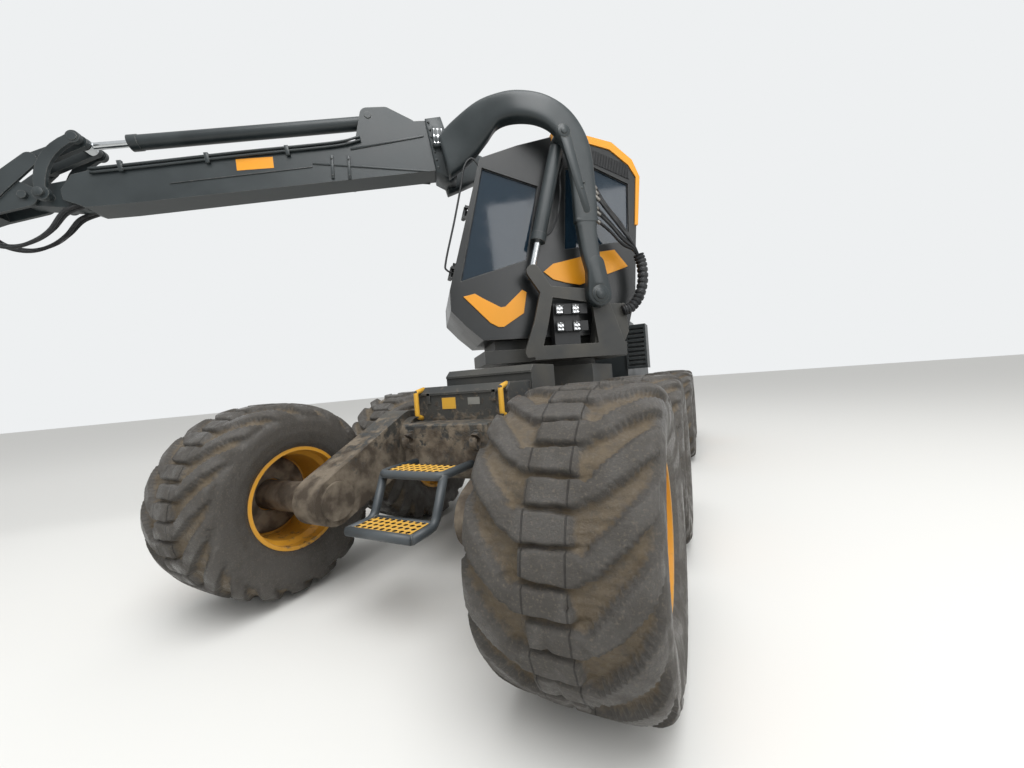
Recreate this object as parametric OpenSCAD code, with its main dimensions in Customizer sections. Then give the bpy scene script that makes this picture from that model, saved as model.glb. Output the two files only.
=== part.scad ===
// Forestry harvester on eight wheels. Three frames hinged one behind the other, a
// slewing cab and crane on the middle one, a lifting boom that arches over the cab
// on two legs, a jib with a telescope, and a harvester head under a rotator.
// Millimetres, +Z up. The machine faces -Y, +X is its left, and the origin lies on
// the ground under the slewing axis.
// Side outlines are given as [forward, up], and the module side() stands them up.

/* [Wheels] */
// Outside diameter of a tyre over its lugs
tyre_d = 1340; // [1260:10:1400]
// Width of a tyre
tyre_w = 710; // [640:10:740]
// Diameter of the bead seat of a rim
rim_d = 673; // [640:1:700]
// Width of a rim over its flanges
rim_w = 610; // [540:10:620]
// Depth of the grooves between the lugs at a tyre's shoulder
lug_deep = 44; // [30:1:50]
// Angle by which the lugs sweep back to the shoulder
lug_sweep = 17; // [8:1:20]
// Height of a rim's flange above the bead seat
rim_flange = 15; // [10:1:20]
// Distance between the middles of a left and a right tyre
track = 2390; // [2360:10:2500]
// Distance between the two axles of a bogie
bogie_base = 1540; // [1480:10:1600]
// Distance from the slewing axis to the middle of a bogie
bogie_out = 2330; // [2330:10:2450]

/* [Bogies] */
// Thickness of a bogie case
case_t = 220; // [180:5:240]
// Radius of a bogie case round its wheel hub
case_hub_r = 165; // [150:1:190]
// Radius of a bogie case round its middle pivot
case_mid_r = 205; // [180:1:230]
// Height of the bogie pivot above the wheel centres
pivot_up = 315; // [300:5:360]
// Radius of a wheel spindle
spindle_r = 105; // [80:1:120]
// Radius of the spindle's nose in its hub
nose_r = 60; // [45:1:70]
// Radius of the cross beam between the bogies
beam_r = 110; // [90:1:130]

/* [Frames] */
// Width of the front and rear frames
frame_w = 730; // [640:10:760]
// Depth of the front and rear frames
frame_h = 420; // [360:10:460]
// Height of a frame's top above the wheel centres
frame_up = 430; // [400:10:480]
// Distance from the slewing axis to the front frame's nose
nose_out = 2600; // [2500:10:2700]
// Distance from the slewing axis to a frame hinge
hinge_out = 760; // [740:5:820]
// Radius of a frame hinge pin
hinge_r = 50; // [35:1:60]
// Radius of the plates round a frame hinge
hinge_eye_r = 140; // [110:5:160]
// Thickness of a frame hinge plate
hinge_t = 60; // [40:5:70]
// Distance from the slewing axis to the tail of the rear frame
tail_out = 4180; // [4100:10:4300]

/* [Front deck] */
// Length of the front tool box
box_l = 420; // [380:10:480]
// Width of the front tool boxes
box_w = 830; // [740:10:860]
// Length of the rear tool box
box2_l = 540; // [460:10:580]
// Height of the front tool box
box_h = 262; // [220:2:290]
// Chamfer round the lid of a tool box
lid_chamfer = 45; // [20:5:70]
// Height of the rear tool box above the front one
box_step = 130; // [60:5:150]
// Width of the ladder's steps
step_w = 520; // [440:10:560]
// Depth of a ladder step
step_d = 230; // [180:5:260]
// Thickness of a ladder step
step_t = 25; // [15:1:40]
// Radius of the ladder's tubes
ladder_r = 28; // [18:1:34]

/* [Engine hood] */
// Width of the engine hood
hood_w = 1270; // [1100:10:1300]
// Height of the engine hood above the rear frame at its front
hood_h = 1150; // [1000:10:1250]
// Height of the engine hood above the rear frame at its tail
hood_tail_h = 780; // [600:10:900]
// Thickness of the hood's panels
hood_t = 40; // [25:1:50]
// Width over the louvred intake boxes beside the hood
intake_w = 1900; // [1700:10:1960]

/* [Middle frame] */
// Width of the middle frame's deck
deck_w = 1180; // [1000:10:1240]
// Length of the middle frame's deck
deck_l = 1060; // [900:10:1100]
// Height of the middle frame's deck above the wheel centres
deck_up = 830; // [780:10:880]
// Radius of the slewing ring
ring_r = 480; // [400:10:520]
// Height of the slewing ring
ring_h = 55; // [40:5:80]

/* [Cab] */
// Width of the cab
cab_w = 1200; // [1100:10:1240]
// Thickness of the cab's walls
wall = 50; // [35:1:60]
// Thickness of the window panes
pane_t = 12; // [6:1:20]
// Thickness of the roof shell
roof_t = 60; // [50:1:80]
// Gap round the front door
door_gap = 8; // [5:1:12]

/* [Slewing base] */
// Thickness of the slewing platform
platform_t = 170; // [140:5:200]
// Thickness of the crane's side brackets
bracket_t = 50; // [44:1:56]
// Gap between the lift cylinders and the cab
crane_gap = 38; // [30:1:60]

/* [Crane] */
// Turn of the cab and crane to the machine's right, at rest
slew_rest = 52; // [40:1:60]
// Thickness of a crane leg across
leg_t = 120; // [100:5:140]
// Radius of a leg pin
leg_pin_r = 55; // [40:1:65]
// Radius of the eye at a leg's foot
leg_eye_r = 135; // [115:5:150]
// Width of the boom box
boom_w = 280; // [240:5:300]
// Depth of the boom box at its root
boom_h = 440; // [400:10:460]
// Depth of the boom box at its tip
boom_tip_h = 400; // [340:10:420]
// Slope of the boom at rest, downwards
boom_slope = 8.5; // [6:0.5:11]
// Outside radius of a lift cylinder
lift_r = 80; // [68:1:84]
// Radius of a lift cylinder's rod
lift_rod_r = 36; // [28:1:42]
// Outside radius of the jib cylinder
jib_cyl_r = 74; // [60:1:78]
// Radius of the jib cylinder's rod
jib_rod_r = 36; // [28:1:42]
// Radius of the pins of the knee
knee_pin_r = 38; // [28:1:44]
// Width of the jib box
jib_w = 210; // [180:5:220]
// Depth of the jib box
jib_h = 270; // [240:5:300]
// Length of the jib box beyond the knee
jib_l = 3050; // [2800:10:3200]
// Slope of the jib at rest, downwards
jib_slope = 22; // [16:1:26]
// Wall of the jib box round its telescope
jib_wall = 22; // [16:1:28]
// Stroke of the telescope
tele_stroke = 2100; // [1600:10:2200]

/* [Head] */
// Length of the harvester head's frame
head_l = 1450; // [1300:10:1500]
// Width of the harvester head's frame
head_w = 420; // [360:10:460]
// Depth of the harvester head's frame
head_h = 300; // [260:10:340]
// Radius of a feed roller
roller_r = 175; // [150:5:190]
// Length of a feed roller
roller_l = 330; // [280:10:360]
// Thickness of a delimbing knife
knife_t = 40; // [30:1:50]

/* [Hidden] */
$fn = 64;

// Running clearances: round a pin, and between faces that slide or swing past
fit = 0.05;
slip = 0.3;
near = 6;

// Heights that follow from the wheels
axle_z = tyre_d / 2;
frame_top = axle_z + frame_up;
frame_bot = frame_top - frame_h;
pivot_z = axle_z + pivot_up;
deck_z = axle_z + deck_up;
ring_z = deck_z + ring_h;
platform_z = ring_z + slip;
base_top = platform_z + platform_t;
cab_z = base_top + 115;

// Axles as [name, forward distance from the slewing axis]
axles = [
    ["1", bogie_out + bogie_base / 2],
    ["2", bogie_out - bogie_base / 2],
    ["3", -bogie_out + bogie_base / 2],
    ["4", -bogie_out - bogie_base / 2]
];

// Crane planes across the machine
cyl_v = cab_w / 2 + crane_gap + lift_r;
plate_v = cyl_v + 45 + slip;
leg_v = plate_v + bracket_t + slip;

// Crane pins as [forward, up] from the slewing axis, up counted from cab_z
leg_pin = [-230, cab_z + 410];
lift_low = [480, cab_z + 700];
lift_high = [60, cab_z + 2170];

// The boom's middle line runs from its root to the knee
knee = [5470, cab_z + 1740];
boom_dir = [cos(boom_slope), -sin(boom_slope)];
boom_up = [sin(boom_slope), cos(boom_slope)];
function on_boom(back, up) = knee - back * boom_dir + up * boom_up;
boom_root = 4230;
knee_lug_w = 150;
jib_cyl_low = on_boom(3440, 500);
link_foot = on_boom(190, -30);
link_top = on_boom(570, 490);
jib_dir = [cos(jib_slope), -sin(jib_slope)];
jib_up = [sin(jib_slope), cos(jib_slope)];
function on_jib(out, up) = knee + out * jib_dir + up * jib_up;
rocker_pin = on_jib(-200, 305);
jib_axis_up = 60;
tele_w = jib_w - 2 * jib_wall - 2 * slip;
tele_h = jib_h - 2 * jib_wall - 2 * slip;
tip = on_jib(jib_l + 300, jib_axis_up);

// Head, hung plumb from the tip: heights of its joints
link_drop = 210;
swing = tip - [0, link_drop];
rotor_top = swing[1] - 90;
rotor_h = 260;
yoke_z = rotor_top - rotor_h - slip;
tilt = [swing[0], yoke_z - 330];
head_top = tilt[1] - 120;
knife_z = head_top - head_h + 60;
roller_v = head_w / 2 + 40;
roller_z = head_top - head_h - 30 - roller_l / 2;

// Stands a [forward, up] outline up, from v0 to v1 across the machine
module side(v0, v1) {
    rotate([90, 0, -90]) translate([0, 0, -v1]) linear_extrude(v1 - v0) children();
}
// The same outline on both sides of the middle
module both_sides(v0, v1) {
    side(v0, v1) children();
    side(-v1, -v0) children();
}
// A disc or pin across the machine
module disc(at, r, v0, v1) {
    side(v0, v1) translate(at) circle(r);
}
// A block from its lowest corner [across, forward, up] and its size
module block(across, forward, up) {
    translate([across[0], -forward[1], up[0]])
        cube([across[1] - across[0], forward[1] - forward[0], up[1] - up[0]]);
}
// Outline of a plate that runs between two round ends
module strap(a, ra, b, rb) {
    d = norm(b - a);
    turn = atan2(b[1] - a[1], b[0] - a[0]);
    open = acos((ra - rb) / d);
    translate(a) circle(ra);
    translate(b) circle(rb);
    polygon([
        a + ra * [cos(turn + open), sin(turn + open)],
        b + rb * [cos(turn + open), sin(turn + open)],
        b + rb * [cos(turn - open), sin(turn - open)],
        a + ra * [cos(turn - open), sin(turn - open)]
    ]);
}
// Tube between two points in space, with a round bead at each end
bead = 1.2;
module rod(a, b, r) {
    d = b - a;
    translate(a) rotate([0, acos(d[2] / norm(d)), atan2(d[1], d[0])])
        cylinder(r = r, h = norm(d));
    for (end = [a, b]) translate(end) sphere(r + bead);
}
// Turns the cab and the crane about the slewing axis
module slewed() {
    rotate([0, 0, -slew_rest]) children();
}
// Ring of a [radius, across] outline round an axle
module wheel_turned() {
    rotate([0, 90, 0]) rotate_extrude($fn = 72) children();
}
// Places a wheel: hand 1 on the left, -1 on the right
module at_wheel(hand, forward) {
    translate([hand * track / 2, -forward, axle_z]) mirror([hand < 0 ? 1 : 0, 0, 0])
        children();
}

// A tyre's rings from bead to bead as [radius, across, points, start angle, groove].
// A ring of lugs has three points to a lug: its two corners and the groove's bottom.
function tyre_side(s, turn) = [
    [tyre_seat, s * (rim_w / 2 - 13), plain_n, turn, 0],
    [tyre_seat + rim_flange + 10, s * (rim_w / 2 - 13), plain_n, turn, 0],
    [tyre_seat + 92, s * tyre_w * 0.492, plain_n, turn, 0],
    [tyre_d / 2 - 92, s * tyre_w * 0.498, plain_n, turn, 0],
    [tyre_d / 2 - 34, s * tyre_w * 0.455, 3 * lug_n, turn, lug_deep],
    [tyre_d / 2, s * tyre_w * 0.13, 2 * lug_n, turn - lug_sweep, 0]
];
lug_n = 18;
plain_n = 24;
lug_turn = 360 / lug_n;
tyre_seat = (rim_d / 2 + slip) / cos(180 / plain_n);
tyre_left = tyre_side(-1, lug_sweep);
tyre_right = tyre_side(1, lug_sweep + lug_turn / 2);
tyre_rings = concat(tyre_left, [for (k = [5:-1:0]) tyre_right[k]]);
function ring_angle(q, i) = q[2] < 3 * lug_n ? q[3] + i * 360 / q[2]
    : q[3] + (floor(i / 3) + [0.15, 0.75, 0.95][i % 3]) * lug_turn;
function ring_point(q, i) = let(
    t = ring_angle(q, i),
    r = q[0] - (i % 3 == 2 ? q[4] : 0)
) [q[1], -r * cos(t), r * sin(t)];
function ring_start(k) = k == 0 ? 0 : ring_start(k - 1) + tyre_rings[k - 1][2];
// Faces between two rings, whose points may differ in number
function ring_faces(a, an, b, bn, shift) = [
    for (i = [0:an - 1]) let(
        low = round(i * bn / an),
        high = round((i + 1) * bn / an)
    ) each concat(
        [for (j = [low:1:high - 1]) [a + i, b + (j + 1 + shift) % bn, b + (j + shift) % bn]],
        [[a + i, a + (i + 1) % an, b + (high + shift) % bn]]
    )
];
module tyre() {
    n = len(tyre_rings);
    color("dimgray") polyhedron(
        points = [for (q = tyre_rings) for (i = [0:q[2] - 1]) ring_point(q, i)],
        faces = [for (k = [0:n - 1]) each ring_faces(
            ring_start(k), tyre_rings[k][2], ring_start((k + 1) % n),
            tyre_rings[(k + 1) % n][2], k == 5 ? 2 * lug_n - 1 : 0
        )]
    );
}
// Rim, wheel disc set towards the outside, and hub
module rim() {
    color("goldenrod") difference() {
        wheel_turned() {
            seat = rim_d / 2;
            out = rim_w / 2;
            disc_x = out * 0.42;
            polygon([
                [seat, -out + 12], [seat + rim_flange, -out + 12],
                [seat + rim_flange, -out], [seat - 10, -out], [seat - 12, -out + 70],
                [seat - 40, -out + 110], [seat - 40, disc_x - 60],
                [nose_r + 115, disc_x - 20], [nose_r + 115, disc_x - 70],
                [0, disc_x - 70], [0, disc_x + 95], [nose_r + 60, disc_x + 95],
                [nose_r + 80, disc_x + 75], [nose_r + 80, disc_x],
                [seat - 40, disc_x - 20], [seat - 40, out - 110],
                [seat - 12, out - 70], [seat - 10, out],
                [seat + rim_flange, out], [seat + rim_flange, out - 12], [seat, out - 12]
            ]);
        }
        translate([rim_w * 0.21 - 71, 0, 0]) rotate([0, 90, 0])
            cylinder(r = nose_r + fit, h = 81);
    }
}

// Bogie cases on both sides, with the spindles that carry the wheels
module bogie_cases(middle) {
    inner = track / 2 - tyre_w / 2 - case_t - 100;
    hub_in = track / 2 + rim_w * 0.21 - 70;
    for (hand = [-1, 1]) mirror([hand < 0 ? 1 : 0, 0, 0]) difference() {
        union() {
            side(inner, inner + case_t) {
                for (end = [-1, 1])
                    strap([middle, pivot_z], case_mid_r,
                        [middle + end * bogie_base / 2, axle_z], case_hub_r);
            }
            for (end = [-1, 1]) {
                hub = [middle + end * bogie_base / 2, axle_z];
                disc(hub, case_hub_r - 38, inner - 18, inner + 1);
                disc(hub, spindle_r, inner + case_t - 1, hub_in - slip);
                disc(hub, nose_r, hub_in - slip - 1, hub_in + 70);
            }
        }
        disc([middle, pivot_z], beam_r + fit, inner - 1, inner + case_t / 2);
    }
}
// Cross beam that carries the two cases of a bogie axle
module cross_beam(middle) {
    inner = track / 2 - tyre_w / 2 - case_t - 100;
    disc([middle, pivot_z], beam_r, -inner - case_t / 2 + slip, inner + case_t / 2 - slip);
    both_sides(box_w / 2 + 26, inner - slip)
        translate([middle, pivot_z]) circle(beam_r + 40);
}
module front_axle() { color("dimgray") cross_beam(bogie_out); }
module rear_axle() { color("dimgray") cross_beam(-bogie_out); }
module front_bogie_cases() { color("dimgray") bogie_cases(bogie_out); }
module rear_bogie_cases() { color("dimgray") bogie_cases(-bogie_out); }

// Two plates round a frame hinge, one near the top and one near the bottom
hinge_top = frame_top - 40;
hinge_bot = frame_bot + 40;
module hinge_fork(hand) {
    for (z = [hinge_top - hinge_t, hinge_bot]) translate([0, 0, z]) linear_extrude(hinge_t) {
        translate([0, -hand * hinge_out]) circle(hinge_eye_r);
        translate([-hinge_eye_r, -hand * (hinge_out + 155) - 155])
            square([2 * hinge_eye_r, 310]);
    }
    translate([0, -hand * hinge_out, hinge_bot])
        cylinder(r = hinge_r, h = hinge_top - hinge_bot);
}
module front_frame() {
    color("darkslategray") difference() {
        union() {
            side(-frame_w / 2, frame_w / 2) polygon([
                [hinge_out + 300, frame_bot], [nose_out - 120, frame_bot],
                [nose_out, frame_bot + 70], [nose_out, frame_top - 12],
                [nose_out - 12, frame_top], [hinge_out + 300, frame_top]
            ]);
            tow_hooks();
            hinge_fork(1);
        }
        disc([bogie_out, pivot_z], beam_r + slip, -frame_w, frame_w);
    }
}
// Two hooked lugs on the front frame's face
module tow_hooks() {
    z = frame_top - 120;
    for (x = [-1, 1]) side(x * (frame_w / 2 - 75) - 22, x * (frame_w / 2 - 75) + 22)
        difference() {
            union() {
                translate([nose_out + 30, z]) circle(58);
                translate([nose_out - 10, z - 75]) square([34, 150]);
            }
            translate([nose_out + 34, z]) circle(26);
            translate([nose_out + 34, z + 4]) rotate(35) square([80, 22]);
        }
}
module front_ladder() {
    top_z = frame_top - 250;
    low_z = top_z - 265;
    top_u = nose_out + 400;
    low_u = top_u + 300;
    x = step_w / 2 - 20;
    sink = 8;
    tube_top = top_z - ladder_r + sink;
    tube_low = low_z - ladder_r + sink;
    color("goldenrod") {
        block([-step_w / 2, step_w / 2], [top_u - step_d, top_u], [top_z, top_z + step_t]);
        block([-step_w / 2 - 10, step_w / 2 + 10], [low_u - step_d, low_u],
            [low_z, low_z + step_t]);
    }
    color("dimgray") {
        for (s = [-1, 1]) {
            rod([s * x, -nose_out - ladder_r - bead - slip, tube_top],
                [s * x, -top_u + 20, tube_top], ladder_r);
            rod([s * x, -top_u + 20, tube_top], [s * x, -low_u + step_d, tube_low], ladder_r);
            rod([s * x, -low_u + step_d, tube_low], [s * x, -low_u + 30, tube_low], ladder_r);
        }
        rod([-x, -top_u + 20, tube_top], [x, -top_u + 20, tube_top], ladder_r);
        rod([-x, -low_u + step_d, tube_low], [x, -low_u + step_d, tube_low], ladder_r);
    }
}
// Tool boxes with chamfered lids, and a pair of grab handles
box_u = nose_out - 250;
module front_boxes() {
    z = frame_top + slip;
    color("darkslategray") {
        side(-box_w / 2, box_w / 2) polygon([
            [box_u - box_l, z], [box_u, z], [box_u, z + box_h - lid_chamfer],
            [box_u - lid_chamfer, z + box_h], [box_u - box_l, z + box_h]
        ]);
        side(-box_w / 2, box_w / 2 + 20) polygon([
            [box_u - box_l - box2_l, z], [box_u - box_l, z],
            [box_u - box_l, z + box_h + box_step - lid_chamfer],
            [box_u - box_l - lid_chamfer, z + box_h + box_step],
            [box_u - box_l - box2_l, z + box_h + box_step]
        ]);
    }
    color("orange") for (s = [-1, 1]) {
        x = s * (box_w / 2 - 30);
        rod([x, -box_u - 55, z + 40], [x, -box_u - 55, z + box_h - 30], 15);
        rod([x, -box_u + 6, z + 20], [x, -box_u - 55, z + 40], 15);
        rod([x, -box_u - 55, z + box_h - 30], [x, -box_u + 48, z + box_h - 8], 15);
    }
}
module middle_frame() {
    tongue_h = hinge_top - hinge_bot - 2 * hinge_t - 2 * slip;
    color("darkslategray") {
        difference() {
            union() {
                side(-frame_w / 2, frame_w / 2) polygon([
                    [-hinge_out + 170, frame_bot], [hinge_out - 170, frame_bot],
                    [hinge_out - 170, frame_top], [deck_l / 2, deck_z - 300],
                    [-deck_l / 2, deck_z - 300], [-hinge_out + 170, frame_top]
                ]);
                block([-deck_w / 2, deck_w / 2], [-deck_l / 2, deck_l / 2],
                    [deck_z - 300, deck_z]);
                cylinder(r = ring_r, h = ring_z);
                for (hand = [-1, 1])
                    translate([0, -hand * hinge_out, hinge_bot + hinge_t + slip])
                        linear_extrude(tongue_h) {
                            circle(hinge_eye_r - 10);
                            translate([-hinge_eye_r + 10, hand > 0 ? 0 : -hinge_eye_r - 60])
                                square([2 * hinge_eye_r - 20, hinge_eye_r + 60]);
                        }
            }
            for (hand = [-1, 1]) translate([0, -hand * hinge_out, 0])
                cylinder(r = hinge_r + fit, h = deck_z);
            translate([0, 0, -1]) cylinder(r = ring_r + 1, h = frame_bot + 1);
        }
    }
}
module rear_frame() {
    color("darkslategray") difference() {
        union() {
            side(-frame_w / 2, frame_w / 2) polygon([
                [-hinge_out - 300, frame_bot], [-hinge_out - 300, frame_top],
                [-tail_out, frame_top], [-tail_out, frame_bot + 160],
                [-tail_out + 260, frame_bot]
            ]);
            hinge_fork(-1);
        }
        disc([-bogie_out, pivot_z], beam_r + slip, -frame_w, frame_w);
    }
}
// Engine and gearbox as one plain block in its real place
module engine_block() {
    color("gray") difference() {
        block([-330, 330], [-bogie_out - 900, -bogie_out + 350],
            [frame_top + slip, frame_top + hood_h - 430]);
        disc([-bogie_out, pivot_z], beam_r + near, -331, 331);
    }
}
hood_front = -1560;
module engine_hood() {
    z = frame_top + slip;
    shape = [
        [hood_front, z], [hood_front, z + hood_h - 60], [hood_front - 60, z + hood_h],
        [hood_front - 900, z + hood_h], [-tail_out - 60, z + hood_tail_h],
        [-tail_out - 70, z + 120], [-tail_out - 5, z]
    ];
    inner = [
        [hood_front - hood_t, z - 1], [hood_front - hood_t, z + hood_h - 60 - hood_t],
        [hood_front - 60, z + hood_h - hood_t], [hood_front - 900, z + hood_h - hood_t],
        [-tail_out - 60 + hood_t, z + hood_tail_h - hood_t], [-tail_out + hood_t, z - 1]
    ];
    color("darkslategray") {
        difference() {
            side(-hood_w / 2, hood_w / 2) polygon(shape);
            side(-hood_w / 2 + hood_t, hood_w / 2 - hood_t) polygon(inner);
            for (k = hood_louvre_rows) both_sides(hood_w / 2 - hood_t - 1, hood_w / 2 + 1)
                translate([k[0], z + k[1]]) square([k[2], k[3]]);
            side(-hood_w, hood_w) translate([-bogie_out, pivot_z]) circle(case_mid_r + 30);
            side(-hood_w, hood_w) polygon([
                [-bogie_out - 560, z - 1], [-bogie_out - 180, pivot_z + 160],
                [-bogie_out + 180, pivot_z + 160], [-bogie_out + 560, z - 1]
            ]);
        }
    }
}
// Openings in the hood's sides as [forward, up, length, height]
hood_louvre_rows = [
    [hood_front - 800, 420, 640, 420], [hood_front - 1700, 380, 640, 340]
];
module hood_louvres() {
    z = frame_top + slip;
    color("dimgray") {
        for (k = hood_louvre_rows, s = [-1, 1]) for (i = [0:6]) {
            pitch = k[3] / 7;
            x = s > 0 ? hood_w / 2 - hood_t + 6 : -hood_w / 2 + 6;
            block([x, x + hood_t - 12], [k[0] + slip, k[0] + k[2] - slip],
                [z + k[1] + (i + 0.2) * pitch, z + k[1] + (i + 0.75) * pitch]);
        }
        for (s = [-1, 1]) {
            x0 = s > 0 ? hood_w / 2 + slip : -intake_w / 2;
            x1 = s > 0 ? intake_w / 2 : -hood_w / 2 - slip;
            difference() {
                block([x0, x1], [hood_front - 260, hood_front + 60], [z + 320, z + 1010]);
                for (i = [0:8])
                    block([x0 + 30, x1 - 30], [hood_front + 20, hood_front + 61],
                        [z + 360 + i * 70, z + 395 + i * 70]);
            }
        }
    }
}

// Slewing platform, crane brackets on both sides and their pins
module slew_base() {
    foot = base_top - 60;
    fork = [lift_low[0] - 140, lift_low[1] - 220];
    color("darkslategray") slewed() {
        translate([0, 0, platform_z]) cylinder(r = ring_r, h = platform_t);
        block([-cab_w / 2 + 60, cab_w / 2 - 60], [-700, 1040],
            [platform_z + 20, base_top]);
        block([-plate_v - bracket_t, plate_v + bracket_t],
            [leg_pin[0] - 330, lift_low[0] + 50], [platform_z + 20, base_top]);
        block([-cab_w / 2 + 160, cab_w / 2 - 160], [-560, 900],
            [base_top - 1, cab_z - slip]);
        both_sides(plate_v, plate_v + bracket_t) difference() {
            union() {
                strap(lift_low, 75, fork, 72);
                strap(fork, 72, [lift_low[0] - 50, lift_low[1] - 560], 78);
                strap([lift_low[0] - 50, lift_low[1] - 560], 78,
                    [lift_low[0] + 60, foot], 90);
                strap(fork, 60, leg_pin, 78);
                strap([leg_pin[0] - 160, foot], 160, leg_pin + [-40, -30], 100);
            }
            translate([-1000, -100]) square([3000, foot + 100 - 60]);
        }
        both_sides(cab_w / 2 + 12, plate_v + 1) polygon([
            [leg_pin[0] - 330, base_top - 1], [leg_pin[0] - 400, base_top + 120],
            [leg_pin[0] - 370, cab_z + 330], [leg_pin[0] - 40, cab_z + 330],
            [leg_pin[0] + 30, base_top - 1]
        ]);
        for (s = [-1, 1]) mirror([s < 0 ? 1 : 0, 0, 0])
            disc(leg_pin, leg_pin_r, plate_v, leg_v + leg_t + 12);
    }
}

// Cab outline from the chin over the front, roof and back, up counted from cab_z
cab_outline = [
    [1050, 0], [1230, 165], [1385, 340], [1380, 570], [940, 2030], [510, 2190],
    [100, 2310], [-310, 2330],
    [-650, 2260], [-900, 2060], [-980, 1880], [-900, 1110], [-840, 460], [-700, 0]
];
// Room inside the cab
cab_room = [
    [1020, wall], [1190, 200], [1330, 350], [1320, 570], [900, 1985], [490, 2130],
    [90, 2250], [-310, 2270],
    [-625, 2205], [-855, 2025], [-925, 1875], [-848, 1110], [-788, 460], [-655, wall]
];
// Side windows as outlines: front pane and rear pane
win_front = [[1255, 660], [925, 1925], [290, 1735], [480, 890]];
win_rear = [[20, 1010], [-60, 1960], [-400, 1990], [-850, 1800], [-805, 1110]];
function raised(pts) = [for (p = pts) [p[0], p[1] + cab_z]];
module cab_cut_roof() {
    side(-cab_w, cab_w) polygon(raised([
        [roof_front, 2500], [roof_front, 2305 - roof_t], [-310, 2325 - roof_t],
        [-630, 2255 - roof_t], [-862, 2080 - roof_t], [-951, 1880], [-894, 1300],
        [-1100, 1300], [-1100, 2500]
    ]));
}
module cab_shell() {
    color([0.12, 0.13, 0.13]) slewed() difference() {
        side(-cab_w / 2, cab_w / 2) polygon(raised(cab_outline));
        side(-cab_w / 2 + wall, cab_w / 2 - wall) polygon(raised(cab_room));
        for (w = [win_front, win_rear]) side(-cab_w, cab_w) polygon(raised(w));
        side(-door_half - door_gap, door_half + door_gap)
            front_strip(door_low - door_gap, door_top + door_gap, 120, -90);
        block([-cab_w / 2 + 130, cab_w / 2 - 130], [-1100, -700],
            [cab_z + 620, cab_z + 1240]);
        side(-brow_half, brow_half) front_strip(brow_low, brow_top, 120, -90);
        cab_cut_roof();
    }
    color([0.12, 0.13, 0.13]) slewed() for (h = door_hinges) {
        on_hinge(h - 30, h + 120, 10);
        for (low = [h - 30, h + 92]) {
            on_hinge(low, low + 28, 20);
            side(door_half - 9, cab_w / 2 - 10)
                front_strip(low, low + 28, -door_gap, hinge_out_d - 12);
            side(door_half + door_gap + 4, cab_w / 2 - 10)
                front_strip(low, low + 28, 20, -door_gap - 1);
        }
    }
}
roof_front = 90;
module cab_roof() {
    color("goldenrod") slewed() side(-cab_w / 2 - 15, cab_w / 2 + 15)
        polygon(raised([
            [roof_front - slip, 2345], [-312, 2352], [-662, 2282], [-915, 2085],
            [-1002, 1885], [-935, 1300 + slip], [-894 - slip, 1300 + slip],
            [-951 - slip, 1880], [-862 - slip, 2080 - roof_t + slip],
            [-630, 2255 - roof_t + slip], [-310, 2325 - roof_t + slip],
            [roof_front - slip, 2305 - roof_t + slip]
        ]));
}
// Panes set flush in their openings
module cab_glass() {
    color([0.5, 0.65, 0.7, 0.4]) slewed() {
        for (w = [win_front, win_rear])
            both_sides(cab_w / 2 - 30 - pane_t, cab_w / 2 - 30) offset(delta = -slip)
                polygon(raised(w));
        side(-cab_w / 2 + 130 + slip, cab_w / 2 - 130 - slip) polygon(raised([
            [-838, 620 + slip], [-893, 1240 - slip], [-893 + pane_t, 1240 - slip],
            [-838 + pane_t, 620 + slip]
        ]));
        side(-brow_half + slip, brow_half - slip)
            front_strip(brow_low + slip, brow_top - slip, 30, 18);
    }
}
// The front of the cab above the chin is one plane: a point on it by its distance
// up from the chin and its depth inside the plane
chin = [1380, cab_z + 570];
brow = [940, cab_z + 2030];
front_up = (brow - chin) / norm(brow - chin);
front_in = [-front_up[1], front_up[0]];
function on_front(up, depth) = chin + up * front_up + depth * front_in;
front_tilt = atan2(-front_up[0], front_up[1]);
door_low = 30;
door_top = 1070;
// Fixed pane over the door
brow_low = 1150;
brow_top = 1400;
brow_half = cab_w / 2 - 130;
door_half = cab_w / 2 - wall - door_gap;
door_rail = 65;
hinge_out_d = -30;
module front_strip(low, high, deep, out) {
    polygon([on_front(low, out), on_front(high, out), on_front(high, deep),
        on_front(low, deep)]);
}
// A drum on the door's hinge line, from one height to another
module on_hinge(low, high, r) {
    at = on_front(low, hinge_out_d);
    translate([door_half - 14, -at[0], at[1]]) rotate([-front_tilt, 0, 0])
        cylinder(r = r, h = high - low);
}
door_hinges = [150, 850];
module cab_door() {
    color([0.1, 0.1, 0.1]) slewed() difference() {
        union() {
            difference() {
                side(-door_half, door_half) front_strip(door_low, door_top, wall, 0);
                side(-door_half + door_rail, door_half - door_rail)
                    front_strip(door_low + door_rail, door_top - door_rail, wall + 1, -1);
            }
            for (h = door_hinges) {
                on_hinge(h, h + 90, 20);
                side(door_half - 60, door_half - 14)
                    front_strip(h, h + 90, 10, hinge_out_d - 6);
            }
            side(-door_half + 20, -door_half + 45)
                front_strip(520, 660, 5, -45);
        }
        for (h = door_hinges) on_hinge(h - 1, h + 91, 10 + fit);
    }
}
module door_glass() {
    color([0.5, 0.65, 0.7, 0.4]) slewed()
        side(-door_half + door_rail + slip, door_half - door_rail - slip)
            front_strip(door_low + door_rail + slip, door_top - door_rail - slip, 30, 18);
}
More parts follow.
